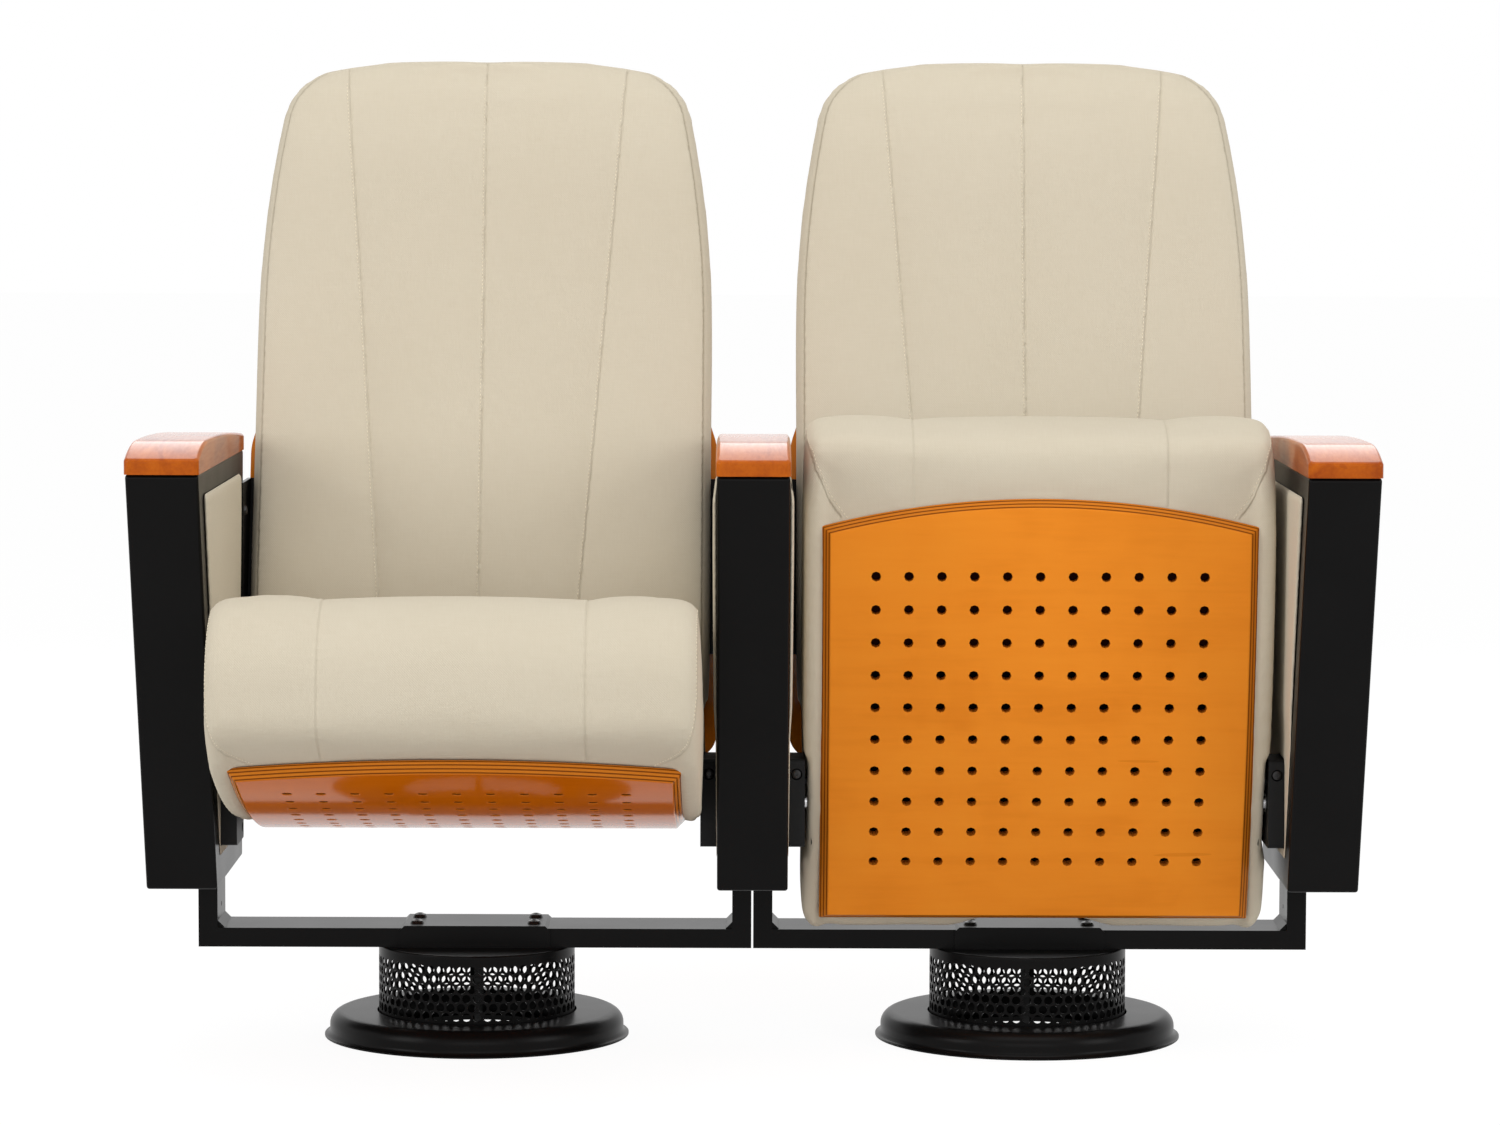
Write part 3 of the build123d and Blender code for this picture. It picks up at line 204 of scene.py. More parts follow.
@dataclass(frozen=True)
class Cloth:
    """Fine plain woven upholstery fabric."""

    name: str = "cream_cloth"
    light: Colour = (0.612, 0.556, 0.448)
    dark: Colour = (0.545, 0.480, 0.365)
    # colour toward which the seams' folds are darkened, as painted shade
    seam: Colour = (0.270, 0.225, 0.150)
    # near-black painted shade on the cloth where the panel hides the cushion
    under_panel_shade: Colour = (0.022, 0.003, 0.001)
    thread: float = 0.0012          # width of one thread
    uneven_across: float = 900.0    # how fast the threads change across their run
    uneven_along: float = 45.0      # and along it
    side_faces: float = 0.75        # a face with more than this of its normal in X is a side
    turn: float = 0.0               # angle about X between the piece and its drawn place

    def material(self) -> bpy.types.Material:
        """Build the cloth.

        Returns:
            The material.
        """
        graph = Graph(self.name)
        place = graph.place(self.turn)
        normal = graph.add("ShaderNodeTexCoord", output="Normal")
        facing = graph.add("ShaderNodeMapping", {"vector_type": "VECTOR"},
                           {0: normal, 2: (self.turn, 0.0, 0.0)})
        x, y, z = graph.split(place)
        nx, ny, nz = (graph.maths("ABSOLUTE", part) for part in graph.split(facing))
        side = nx > self.side_faces
        flat = (nz > ny) * (1.0 - side)
        across = x + side * (y - x)
        along = z + flat * (y - z)
        wave = tau / (2 * self.thread)
        weave = graph.maths("SINE", across * wave) * graph.maths("SINE", along * wave)
        flat_place = graph.add("ShaderNodeCombineXYZ", sockets={0: across, 1: along})
        fine, long = self.uneven_across, self.uneven_along
        warp = graph.noise(graph.stretch(flat_place, (fine, long, 1.0)), 1.0)
        weft = graph.noise(graph.stretch(flat_place, (long, fine, 1.0)), 1.0)
        cloud = graph.noise(place, 7.0, 3.0)
        share = 0.42 + weave * 0.16 + (warp - 0.5) * 0.5 + (weft - 0.5) * 0.5 + (cloud - 0.5) * 0.35
        height = weave * 0.5 + warp * 0.6 + weft * 0.6
        # painted shade: the cloth is darkened toward the seam colour along the seams' folds, by a share
        # stored on each piece
        fold_shade, under_panel_shade = (graph.add("ShaderNodeAttribute", {"attribute_name": name}, output="Fac")
                          for name in ("fold_shade", "under_panel_shade"))
        share = graph.maths("MAXIMUM", graph.maths("MINIMUM", share, 1.0), 0.0)
        woven = graph.blend(fold_shade, graph.blend(share, self.dark, self.light), self.seam)
        return graph.finish({
            # painted shade: near black where the panel hides the cushion, seen through its holes
            "Base Color": graph.blend(under_panel_shade, woven, self.under_panel_shade),
            "Roughness": 0.88,
            "Specular IOR Level": 0.10,
            "Sheen Weight": 0.06,
            "Sheen Roughness": 0.5,
            "Sheen Tint": (0.9, 0.86, 0.78, 1.0),
            "Normal": graph.bump(height, 0.3, 0.0003),
        })


class Grain(Enum):
    """Which way the grain of a wooden piece runs, as a stretch of the noise on each axis."""

    ALONG_ROW = (2.2, 26.0, 26.0)
    FRONT_TO_BACK = (34.0, 2.4, 34.0)
    UPWARD = (26.0, 26.0, 2.0)


@dataclass(frozen=True)
class Lacquer:
    """Honey orange wood under a glossy clear coat."""

    name: str
    grain: Grain
    light: Colour = (0.86, 0.298, 0.027)
    middle: Colour = (0.80, 0.248, 0.020)
    dark: Colour = (0.63, 0.168, 0.010)
    contrast: float = 1.0
    plies: int = 0              # layers that show on its cut edges
    thickness: float = 0.012    # of all the plies together
    veneer: float = 0.0009      # depth at which the face's colour has gone
    core: Colour = (0.60, 0.180, 0.014)
    glue: Colour = (0.110, 0.022, 0.002)
    attribute: str = ""         # the piece's own places, where Object coordinates are not used
    gloss: float = 0.06
    coat: float = 1.0
    coat_ior: float = 1.16
    specular: float = 0.08

    def material(self) -> bpy.types.Material:
        """Build the wood.

        Returns:
            The material.
        """
        graph = Graph(self.name)
        if self.attribute:
            place = graph.add("ShaderNodeAttribute", {"attribute_name": self.attribute}, output="Vector")
        else:
            place = graph.place()
        drift = graph.noise(place, 9.0, 3.0, 0.6)
        long = graph.stretch(place, self.grain.value)
        streak = graph.noise(long, 1.0, 4.0, 0.9)
        pores = graph.stretch(place, tuple(9 * part for part in self.grain.value))
        fine = graph.noise(pores, 1.0, 3.0, 0.3)
        share = 0.5 + ((streak - 0.5) * 0.7 + (drift - 0.5) * 0.8 + (fine - 0.5) * 0.25) * self.contrast
        colour = graph.add("ShaderNodeValToRGB", {"stops": [
            (0.30, self.dark), (0.50, self.middle), (0.70, self.light),
        ]}, {0: share})
        coarse = graph.stretch(place, tuple(2.2 * part for part in self.grain.value))
        speck = graph.noise(coarse, 1.0, 0.0) > 0.80
        colour = graph.blend(speck * 0.45, colour, self.dark)
        if self.plies:
            colour = self._layered(graph, graph.split(place)[2], colour)
        return graph.finish({
            "Base Color": colour,
            "Roughness": 0.42 - fine * 0.12,
            "Specular IOR Level": self.specular,
            "Coat Weight": self.coat,
            "Coat Roughness": self.gloss,
            "Coat IOR": self.coat_ior,
            "Normal": graph.bump(fine, 0.05, 0.0003),
        })

    def _layered(self, graph: Graph, depth: Signal, face: Signal) -> Signal:
        """Show the plies on cut edges, where the depth below the face is more than nothing.

        Args:
            graph: The material's tree.
            depth: Depth below the face in metres.
            face: The colour of the face veneer.

        Returns:
            The colour with its layers.
        """
        wave = graph.maths("COSINE", depth * (tau * self.plies / self.thickness)) * -0.5 + 0.5
        layers = graph.blend(graph.maths("POWER", wave, 3.0), self.core, self.glue)
        cut = graph.maths("MINIMUM", depth * (1 / self.veneer), 1.0)
        return graph.blend(cut, face, layers)


@dataclass(frozen=True)
class Coating:
    """Paint, powder coat, oxide or bare metal with a fine texture."""

    name: str
    colour: Colour
    rough: float
    specular: float = 0.3
    metallic: float = 0.0
    speck: float = 1400.0       # how fine its texture is
    relief: float = 0.00006     # and how deep
    spread: float = 0.1         # by how much its roughness changes

    def material(self) -> bpy.types.Material:
        """Build the coating.

        Returns:
            The material.
        """
        graph = Graph(self.name)
        place = graph.place()
        peel = graph.noise(place, self.speck, 2.0)
        wear = graph.noise(place, 11.0, 3.0)
        lift = tuple(min(1.0, part * 1.6 + 0.001) for part in self.colour)
        return graph.finish({
            "Base Color": graph.blend(wear, self.colour, lift),
            "Roughness": self.rough - self.spread / 2 + wear * self.spread,
            "Specular IOR Level": self.specular,
            "Metallic": self.metallic,
            "Normal": graph.bump(peel, 0.25, self.relief),
        })


class Finishes:
    """Every finish of the unit, each built once."""

    def __init__(self) -> None:
        """Build the materials."""
        black = (0.0026, 0.0024, 0.0024)
        self.cloth = Cloth().material()
        self.cloth_up = Cloth("cream_cloth_tipped", turn=TIP).material()
        self.thread = Coating("cream_thread", (0.62, 0.56, 0.44), 0.7, 0.2, speck=3000.0).material()
        self.armrest = Lacquer("armrest_wood", Grain.FRONT_TO_BACK, light=(0.51, 0.120, 0.002),
                               middle=(0.43, 0.088, 0.001), dark=(0.30, 0.050, 0.001), coat=0.72).material()
        sheet = {"contrast": 0.3, "plies": 4, "attribute": "sheet_place", "gloss": 0.10, "specular": 0.0}
        self.panel_up = Lacquer("panel_plywood", Grain.ALONG_ROW, coat=0.6, coat_ior=1.1,
                                **sheet).material()
        # painted shade: one plywood finish in two copies; the down panel's colours are darker for the shade
        # on a sheet facing the floor, and its coat differs too
        self.panel_down_shaded = Lacquer("panel_plywood_down_shaded", Grain.ALONG_ROW, light=(0.64, 0.160, 0.004),
                                  middle=(0.56, 0.126, 0.002), dark=(0.44, 0.085, 0.001), coat=0.8,
                                  coat_ior=1.13, **sheet).material()
        self.shell = Lacquer("shell_plywood", Grain.UPWARD, contrast=0.35, light=(0.62, 0.200, 0.012),
                             middle=(0.56, 0.160, 0.006), dark=(0.40, 0.095, 0.003)).material()
        self.steel = Coating("black_powder_coat", black, 0.30, 0.08).material()
        self.satin = Coating("black_satin", black, 0.30, 0.07).material()
        self.oxide = Coating("black_oxide", (0.008, 0.007, 0.007), 0.28, 0.35).material()
        self.moulded = Coating("black_moulding", (0.005, 0.005, 0.005), 0.48, 0.14).material()
        # painted shade: a darker, almost unreflective black for the webs inside the drums
        self.inside = Coating("black_inside_shaded", (0.002, 0.002, 0.002), 0.8, 0.02).material()
        self.raw_wood = Coating("raw_plywood", (0.55, 0.38, 0.20), 0.7, speck=300.0,
                                relief=0.0002).material()
        self.nylon = Coating("nylon", (0.75, 0.73, 0.68), 0.45, 0.4).material()
        self.ground = Coating("ground_steel", (0.55, 0.55, 0.56), 0.25, 0.5, 1.0).material()

    def by_slot(self) -> dict[str, bpy.types.Material]:
        """The finish of each of the record's material slots."""
        return {
            "upholstery": self.cloth, "lacquered_wood": self.armrest, "lacquered_plywood": self.shell,
            "plain_plywood": self.raw_wood, "nylon": self.nylon, "pin_steel": self.ground,
            "cartridge_casing": self.moulded, "black_fastener": self.oxide, "black_steel": self.steel,
        }

    def dress_nodes(self) -> None:
        """Give every CAD node the finish of its slot."""
        slots = {part["node"]: part["material_slot"] for part in frame["record"]["subparts"]}
        finishes = self.by_slot()
        for name, node in frame["nodes"].items():
            finish = finishes[slots[name]]
            if "hinge_box" in name and "screws" not in name:
                finish = self.moulded
            # the webs inside the drums take the darker black, as painted shade
            elif "pedestal_web" in name:
                finish = self.inside
            for slot in node.material_slots:
                slot.material = finish


# ---- mesh helpers --------------------------------------------------------------------------------


def new_object(name: str, data: bpy.types.ID) -> bpy.types.Object:
    """Link a mesh, a lamp or a camera to the scene as an object at the origin."""
    piece = bpy.data.objects.new(name, data)
    bpy.context.scene.collection.objects.link(piece)
    return piece


def from_bmesh(name: str, bm: bmesh.types.BMesh) -> bpy.types.Object:
    """Turn a bmesh into an object with smooth shading.

    Args:
        name: The object's name.
        bm: The mesh, which is freed.

    Returns:
        The object.
    """
    bmesh.ops.recalc_face_normals(bm, faces=bm.faces)
    for face in bm.faces:
        face.smooth = True
    mesh = bpy.data.meshes.new(name)
    bm.to_mesh(mesh)
    bm.free()
    return new_object(name, mesh)


def verts_of(items: Sequence[Any]) -> list[bmesh.types.BMVert]:
    """The vertices among some parts of a bmesh."""
    return [item for item in items if isinstance(item, bmesh.types.BMVert)]


def points_of(mesh: bpy.types.Mesh) -> np.ndarray:
    """The mesh's vertices as rows of X, Y and Z."""
    found = np.zeros(len(mesh.vertices) * 3, np.float32)
    mesh.vertices.foreach_get("co", found)
    return found.reshape(-1, 3).astype(float)


def normals_of(mesh: bpy.types.Mesh) -> np.ndarray:
    """The mesh's vertex normals as rows."""
    found = np.zeros(len(mesh.vertices) * 3, np.float32)
    mesh.vertex_normals.foreach_get("vector", found)
    return found.reshape(-1, 3).astype(float)


def set_points(mesh: bpy.types.Mesh, points: np.ndarray) -> None:
    """Move the mesh's vertices."""
    mesh.vertices.foreach_set("co", points.astype(np.float32).ravel())
    mesh.update()


def bake_modifiers(piece: bpy.types.Object) -> None:
    """Apply every modifier of a piece."""
    graph = bpy.context.evaluated_depsgraph_get()
    graph.update()
    mesh = bpy.data.meshes.new_from_object(piece.evaluated_get(graph))
    piece.modifiers.clear()
    old = piece.data
    piece.data = mesh
    bpy.data.meshes.remove(old)


def store_place(piece: bpy.types.Object, name: str, places: np.ndarray) -> None:
    """Keep a vector for each vertex, which a material reads by name."""
    layer = piece.data.attributes.new(name, "FLOAT_VECTOR", "POINT")
    layer.data.foreach_set("vector", places.astype(np.float32).ravel())


def store_share(piece: bpy.types.Object, name: str, shares: np.ndarray) -> None:
    """Keep a number for each vertex, which a material reads by name."""
    layer = piece.data.attributes.new(name, "FLOAT", "POINT")
    layer.data.foreach_set("value", np.clip(shares, 0, 1).astype(np.float32))


def placed_copy(piece: bpy.types.Object, name: str, matrix: Matrix) -> bpy.types.Object:
    """A copy of a piece with its own mesh, moved in its mesh."""
    mesh = piece.data.copy()
    mesh.transform(matrix)
    return new_object(name, mesh)


def keep_sharp(piece: bpy.types.Object, angle: float) -> None:
    """Split the shading at edges steeper than an angle in radians."""
    piece.data.set_sharp_from_angle(angle=angle)


def discard(*forms: bpy.types.Object) -> None:
    """Remove forms whose copies are all in place."""
    for form in forms:
        bpy.data.objects.remove(form)


def smooth_step(values: np.ndarray, low: float, high: float) -> np.ndarray:
    """A soft step from 0 at the low value to 1 at the high one."""
    share = np.clip((values - low) / (high - low), 0.0, 1.0)
    return share * share * (3 - 2 * share)


def between(angles: np.ndarray, turns: tuple[float, float, float, float]) -> np.ndarray:
    """1 between the two middle turns in degrees, falling softly to 0 at the outer ones."""
    low, start, end, high = (radians(turn) for turn in turns)
    return smooth_step(angles, low, start) * (1 - smooth_step(angles, end, high))


# ---- upholstery ----------------------------------------------------------------------------------


@dataclass
class Seam:
    """One sewn line, measured at every vertex of a piece."""

    offset: np.ndarray          # signed distance from the line
    run: np.ndarray             # place along the line
    weight: np.ndarray          # how strongly it marks
    across: np.ndarray          # way from the line, as unit vectors
    dark: float = 0.3           # how dark the painted shade along its fold is


@dataclass
class Upholstery:
    """A foam and fabric piece: swollen by cloth pressure from its CAD solid, then sewn."""

    voxel: float = 0.0055
    pressure: float = 5.0
    shrink: float = 0.0022      # it starts this much smaller
    swell: float = 0.0045       # the furthest that a point may move
    gather: float = 0.014       # reach of the finer mesh beside a seam
    gather_share: float = 0.22  # spacing of the points right beside it
    valley: float = 0.0009      # soft dip over the seam
    valley_reach: float = 0.009
    lap: float = 0.0006         # the left side's edge is folded under, so it stands up
    lap_reach: float = 0.0045
    fold: float = 0.0013        # the groove beside it
    fold_reach: float = 0.0012
    fold_shade_reach: float = 0.0009  # of the line of painted shade in it
    pucker: float = 0.00022     # small waves along the seam
    pucker_pitch: float = 0.0078
    pucker_reach: float = 0.005
    drift_slow: float = 37.0    # how fast the puckers change along the seam
    drift_quick: float = 91.0
    pin_share: float = 0.55     # points nearer a seam than this share of a voxel are pinned
    stiffness: float = 40.0
    frames: int = 20

    def copy_node(self, node: str, name: str, offset: Vector) -> bpy.types.Object:
        """Copy a CAD node, merged, moved and remeshed evenly.

        Args:
            node: The CAD node.
            name: The new piece's name.
            offset: How far it is moved.

        Returns:
            The new piece.
        """
        bm = bmesh.new()
        bm.from_mesh(frame["nodes"][node].data)
        bmesh.ops.remove_doubles(bm, verts=bm.verts, dist=CLOSE)
        bmesh.ops.translate(bm, verts=bm.verts, vec=offset)
        self.cover(bm)
        piece = from_bmesh(name, bm)
        remesh = piece.modifiers.new("even", "REMESH")
        remesh.mode = "VOXEL"
        remesh.voxel_size = self.voxel
        remesh.use_smooth_shade = True
        bake_modifiers(piece)
        return piece

    def cover(self, bm: bmesh.types.BMesh) -> None:
        """Draw the fabric over hard parts, where a piece needs it."""

    def inflate(self, piece: bpy.types.Object, held: np.ndarray, sewn: np.ndarray) -> None:
        """Swell the piece under cloth pressure, with its base held and its seams pinned.

        Args:
            piece: The remeshed piece.
            held: For each vertex, 1 where it rests on something hard.
            sewn: For each vertex, 1 on a seam.
        """
        mesh = piece.data
        start = points_of(mesh) - normals_of(mesh) * (self.shrink * (1 - held))[:, None]
        set_points(mesh, start)
        group = piece.vertex_groups.new(name="pinned")
        pinned = np.maximum(held, sewn)
        for index in np.nonzero(pinned > 0.5)[0]:
            group.add([int(index)], 1.0, "REPLACE")
        cloth = piece.modifiers.new("foam", "CLOTH")
        cloth.settings.vertex_group_mass = group.name
        cloth.settings.use_pressure = True
        cloth.settings.uniform_pressure_force = self.pressure
        cloth.settings.effector_weights.gravity = 0.0
        cloth.settings.tension_stiffness = self.stiffness
        cloth.settings.compression_stiffness = self.stiffness
        cloth.settings.quality = 4
        cloth.point_cache.frame_start = 1
        cloth.point_cache.frame_end = self.frames
        scene = bpy.context.scene
        for step in range(1, self.frames + 1):
            scene.frame_set(step)
        bake_modifiers(piece)
        scene.frame_set(1)
        moved = points_of(piece.data) - start
        length = np.linalg.norm(moved, axis=1)
        cap = self.swell / np.maximum(length, self.swell)
        set_points(piece.data, start + moved * cap[:, None])

    def refine(self, piece: bpy.types.Object) -> None:
        """Smooth the piece a little and divide its faces once."""
        soften = piece.modifiers.new("soften", "SMOOTH")
        soften.factor = 0.5
        soften.iterations = 3
        divide = piece.modifiers.new("divide", "SUBSURF")
        divide.levels = divide.render_levels = 1
        bake_modifiers(piece)

    def sew(self, piece: bpy.types.Object, seams: Sequence[Seam], random: np.random.Generator) -> None:
        """Sink each seam into the piece as a soft valley with a sharp fold and small puckers, and store a
        share of painted shade along the fold.

        Args:
            piece: The piece.
            seams: The seams, measured at the piece's points.
            random: Source of the puckers' changes.
        """
        mesh = piece.data
        points, normals = points_of(mesh), normals_of(mesh)
        depth, fold_shade = np.zeros(len(points)), np.zeros(len(points))
        for seam in seams:
            away = np.abs(seam.offset)
            phase = random.uniform(0, tau, 3)
            drift = np.sin(seam.run * self.drift_slow + phase[0])
            drift = drift + 0.7 * np.sin(seam.run * self.drift_quick + phase[1])
            ripple = np.sin(seam.run * tau / self.pucker_pitch + 1.3 * drift + phase[2])
            raised = -self.lap * np.exp(-away / self.lap_reach)
            groove = self.fold * np.exp(-away / self.fold_reach)
            mark = self.valley * np.exp(-(away / self.valley_reach) ** 2)
            mark += np.where(seam.offset < 0, raised, groove)
            mark += self.pucker * ripple * (0.7 + 0.3 * drift) * np.exp(-away / self.pucker_reach)
            depth += seam.weight * mark
            # painted shade: a dark line just beside the seam, where its fold lies
            beside = seam.offset / self.fold_shade_reach - 0.5
            fold_shade = np.maximum(fold_shade, seam.dark * seam.weight * np.exp(-beside ** 2))
        set_points(mesh, points - normals * depth[:, None])
        store_share(piece, "fold_shade", fold_shade)

    def seams(self, points: np.ndarray) -> list[Seam]:
        """The piece's seams, measured at some points."""
        return []

    def on_seams(self, points: np.ndarray) -> np.ndarray:
        """1 at the points that lie on a seam."""
        sewn = np.zeros(len(points), bool)
        for seam in self.seams(points):
            sewn |= (np.abs(seam.offset) < self.pin_share * self.voxel) & (seam.weight > 0.5)
        return sewn.astype(float)

    def shape_cloth(self, piece: bpy.types.Object, held: np.ndarray, points: np.ndarray) -> None:
        """Swell the piece between its seams, smooth it and make it finer beside them.

        Args:
            piece: The remeshed piece.
            held: For each vertex, 1 where it rests on something hard.
            points: The places at which the seams are looked for.
        """
        self.inflate(piece, held, self.on_seams(points))
        self.refine(piece)
        self.gather_seams(piece)

    def gather_seams(self, piece: bpy.types.Object) -> None:
        """Make the mesh finer beside every seam."""
        points, normals = points_of(piece.data), normals_of(piece.data)
        for index in range(len(self.seams(points))):
            points = self.gathered(points, normals, self.seams(points)[index])
        set_points(piece.data, points)

    def gathered(self, points: np.ndarray, normals: np.ndarray, seam: Seam) -> np.ndarray:
        """Draw points over the surface towards a seam, so that the mesh is finer beside it."""
        share = np.clip(np.abs(seam.offset) / self.gather, 0.0, 1.0)
        pull = seam.offset * (1 - self.gather_share) * (1 - share) * seam.weight
        way = seam.across - normals * np.sum(seam.across * normals, axis=1)[:, None]
        return points - way * pull[:, None]


@dataclass
class Stitching:
    """A row of short thread stitches laid along a seam."""

    pitch: float = 0.0039
    length: float = 0.0027
    radius: float = 0.00042
    gap: float = 3.0            # a step of more pitches than this gets no stitch

    def lay(self, name: str, rows: Sequence[Sequence[tuple[Vector, Vector]]]) -> bpy.types.Object:
        """Lay stitches along rows of points.

        Args:
            name: The piece's name.
            rows: For each row, points on the cloth with the cloth's normal there.

        Returns:
            One object with every stitch.
        """
        bm = bmesh.new()
        for row in rows:
            for (start, normal), (end, _) in zip(row[:-1], row[1:]):
                run = end - start
                if run.length < TINY or run.length > self.gap * self.pitch:
                    continue
                along = run.normalized()
                across = along.cross(normal).normalized()
                up = across.cross(along)
                turn = Matrix((across, along, up)).transposed().to_4x4()
                middle = start + run / 2 + up * self.radius * 0.5
                shape = bmesh.ops.create_icosphere(bm, subdivisions=1, radius=1.0)["verts"]
                size = Matrix.Diagonal((self.radius, self.length / 2, self.radius, 1.0))
                bmesh.ops.transform(bm, matrix=Matrix.Translation(middle) @ turn @ size, verts=shape)
        return from_bmesh(name, bm)


@dataclass(frozen=True)
class SeatShape:
    """Sizes that the seat's pieces share, with the seat down and its middle at X = 0."""

    seam: float = 0.129         # from the middle to each long seam
    radius: float = 1.110       # of the bend, to the panel's outer face
    thickness: float = 0.012
    panel_half: float = 0.221
    sole_y: float = 0.0345
    sole_z: float = 0.227
    front_angle: float = radians(25.0)
    rear_angle: float = radians(2.3)
    tray_half: float = 0.2
    tray_height: float = 0.046
    middle_y: float = -0.23     # middle of its side view, from the pedestals' axis
    middle_z: float = 0.38
    pocket: float = 0.061       # the hollow round each hinge pin
    arch: float = 0.0284        # rise of the panel's arched front edge
    reach: float = 0.0064       # its crest lies this far in front of the front angle
    tail: float = 0.012         # and the rear edge this far behind the rear angle
    drop: float = 0.0045        # the finished sheet lies this far below its drawn line

    @property
    def axis(self) -> tuple[float, float]:
        """Y and Z of the axis that the plywood is bent round."""
        return self.sole_y + SHIFT, self.sole_z + self.radius

    def panel_depth(self, points: np.ndarray) -> np.ndarray:
        """How far each point lies above the panel's outer face."""
        y, z = self.axis
        return self.radius - np.hypot(points[:, 1] - y, points[:, 2] - z)

    def run(self, points: np.ndarray) -> np.ndarray:
        """How far each point is from the panel's front crest, along the sheet."""
        y, z = self.axis
        angle = np.arctan2(y - points[:, 1], z - points[:, 2])
        return self.reach + self.radius * (self.front_angle - angle)

    def lean(self, points: np.ndarray) -> np.ndarray:
        """Angle of each point round the cushion's side view, from the front and upwards."""
        return np.arctan2(points[:, 2] - self.middle_z, self.middle_y + SHIFT - points[:, 1])


@dataclass
class SeatCushion(Upholstery):
    """The seat's cushion, made once with the seat down and then placed on both seats."""

    shape: SeatShape = SeatShape()
    shrink: float = 0.0012
    valley: float = 0.0005
    fold: float = 0.0006
    plate_face: float = 0.2257      # floor of the hollows over the hinge plates
    plate_cover: float = 0.2343     # the fabric's side over the plates
    boss_floor: float = 0.199       # floor of the holes round their bosses
    boss_reach: float = 0.0396      # hinge pin to the plate's screws
    boss_drop: float = 0.0056
    lift: float = 0.0070            # how far the nose's top swells up beside the seams
    lift_middle: float = 0.0048     # and between them
    flatten: float = 0.0030         # how far the nose's front is drawn in at its middle
    top_turns: tuple[float, float, float, float] = (17, 38, 60, 130)
    front_turns: tuple[float, float, float, float] = (-8, 12, 25, 45)
    lift_places: tuple[float, float] = (0.090, 0.175)   # from the middle, where the two meet
    flat_half: float = 0.2          # half width of the flatter front
    sole: float = 0.070             # depth over which the cloth is let down on the panel
    mean_reach: float = 0.2         # from the middle of the side view to the cloth
    slack: float = 0.002
    margin: float = 0.003           # what lies this near a hard part rests on it
    wide_margin: float = 0.004
    plate_margin: float = 0.001
    plate_match: float = 0.0004
    free_front: float = 0.40        # nothing holds it further than this before the axis
    plugs: tuple[tuple[int, float], ...] = ((-1, 0.0100), (0, 0.0130), (1, 0.0100))
    under_panel_shade_inset: float = 0.006
    under_panel_shade_side: tuple[float, float] = (0.0, 0.003)     # where the painted shade fades in, on each side
    under_panel_shade_front: tuple[float, float] = (0.030, 0.034)
    under_panel_shade_rear: tuple[float, float] = (0.006, 0.010)
    side_start: tuple[float, float] = (-22, -15)        # turns where the side seams fade in
    side_turns: tuple[float, ...] = (-20, -13.5, -9.5, -5, 0, 6, 180)
    side_reach: tuple[float, ...] = (0.176, 0.197, 0.214, 0.2275, 0.2340, 0.2365, 0.2365)
    side_slope: float = 1.1         # of the cloth beside the side seams, over its width in X
    stitch_inset: float = 0.0009    # from the seam to its stitches
    stitch_turns: tuple[float, float] = (-14, 160)
    stitch_search: float = 0.0015   # step in radians
    seed: int = 4

    def held(self, points: np.ndarray) -> np.ndarray:
        """1 where the cushion rests on the panel, the tray or the hinges."""
        shape = self.shape
        depth = shape.panel_depth(points)
        x = np.abs(points[:, 0])
        edge = shape.arch * (points[:, 0] / shape.panel_half) ** 2 - self.slack
        on_board = (depth < shape.thickness + self.wide_margin) & (shape.run(points) > edge)
        low = depth < shape.thickness + shape.tray_height + self.margin
        in_tray = low & (x < shape.tray_half + self.margin)
        from_pin = np.hypot(points[:, 1] - PIVOT.y, points[:, 2] - PIVOT.z)
        in_pocket = (from_pin < shape.pocket + self.wide_margin) & (x > shape.tray_half - self.slack)
        front = points[:, 1] < SHIFT - self.free_front
        return (on_board | (in_tray & ~front) | in_pocket).astype(float)

    def cover(self, bm: bmesh.types.BMesh) -> None:
        """Draw the fabric over the hinge plates and their bosses on both sides."""
        for vert in bm.verts:
            from_pin = hypot(vert.co.y - PIVOT.y, vert.co.z - PIVOT.z)
            near = from_pin < self.shape.pocket + self.plate_margin
            if near and abs(abs(vert.co.x) - self.plate_face) < self.plate_match:
                vert.co.x = self.plate_cover if vert.co.x > 0 else -self.plate_cover
        for way in (-1, 1):
            for share, radius in self.plugs:
                middle = (way * (self.boss_floor + self.plate_cover) / 2, PIVOT.y + share * self.boss_reach,
                          PIVOT.z - share * self.boss_drop)
                plug = bmesh.ops.create_cone(bm, cap_ends=True, segments=32, radius1=radius, radius2=radius,
                                             depth=self.plate_cover - self.boss_floor)["verts"]
                place = Matrix.Translation(middle) @ Matrix.Rotation(pi / 2, 4, "Y")
                bmesh.ops.transform(bm, matrix=place, verts=plug)

    def side_line(self, lean: np.ndarray) -> np.ndarray:
        """How far from the middle the seam round each side is, by the angle round the cushion."""
        return np.interp(lean, np.radians(self.side_turns), self.side_reach)

    def fill_out(self, points: np.ndarray) -> np.ndarray:
        """Swell the nose's top, draw in its front and let the sole down on the panel."""
        shape = self.shape
        lean = shape.lean(points)
        x = np.abs(points[:, 0])
        moved = points.copy()
        outer = smooth_step(x, *self.lift_places)
        lift = self.lift_middle + (self.lift - self.lift_middle) * outer
        moved[:, 2] += lift * between(lean, self.top_turns)
        inward = np.clip(1 - (x / self.flat_half) ** 2, 0, 1)
        moved[:, 1] += self.flatten * between(lean, self.front_turns) * inward
        y, z = shape.axis
        away = np.stack([points[:, 1] - y, points[:, 2] - z], axis=1)
        away /= np.linalg.norm(away, axis=1)[:, None]
        low = 1 - smooth_step(shape.panel_depth(points), shape.thickness + self.margin, self.sole)
        moved[:, 1:] += away * (shape.drop * low)[:, None]
        return moved

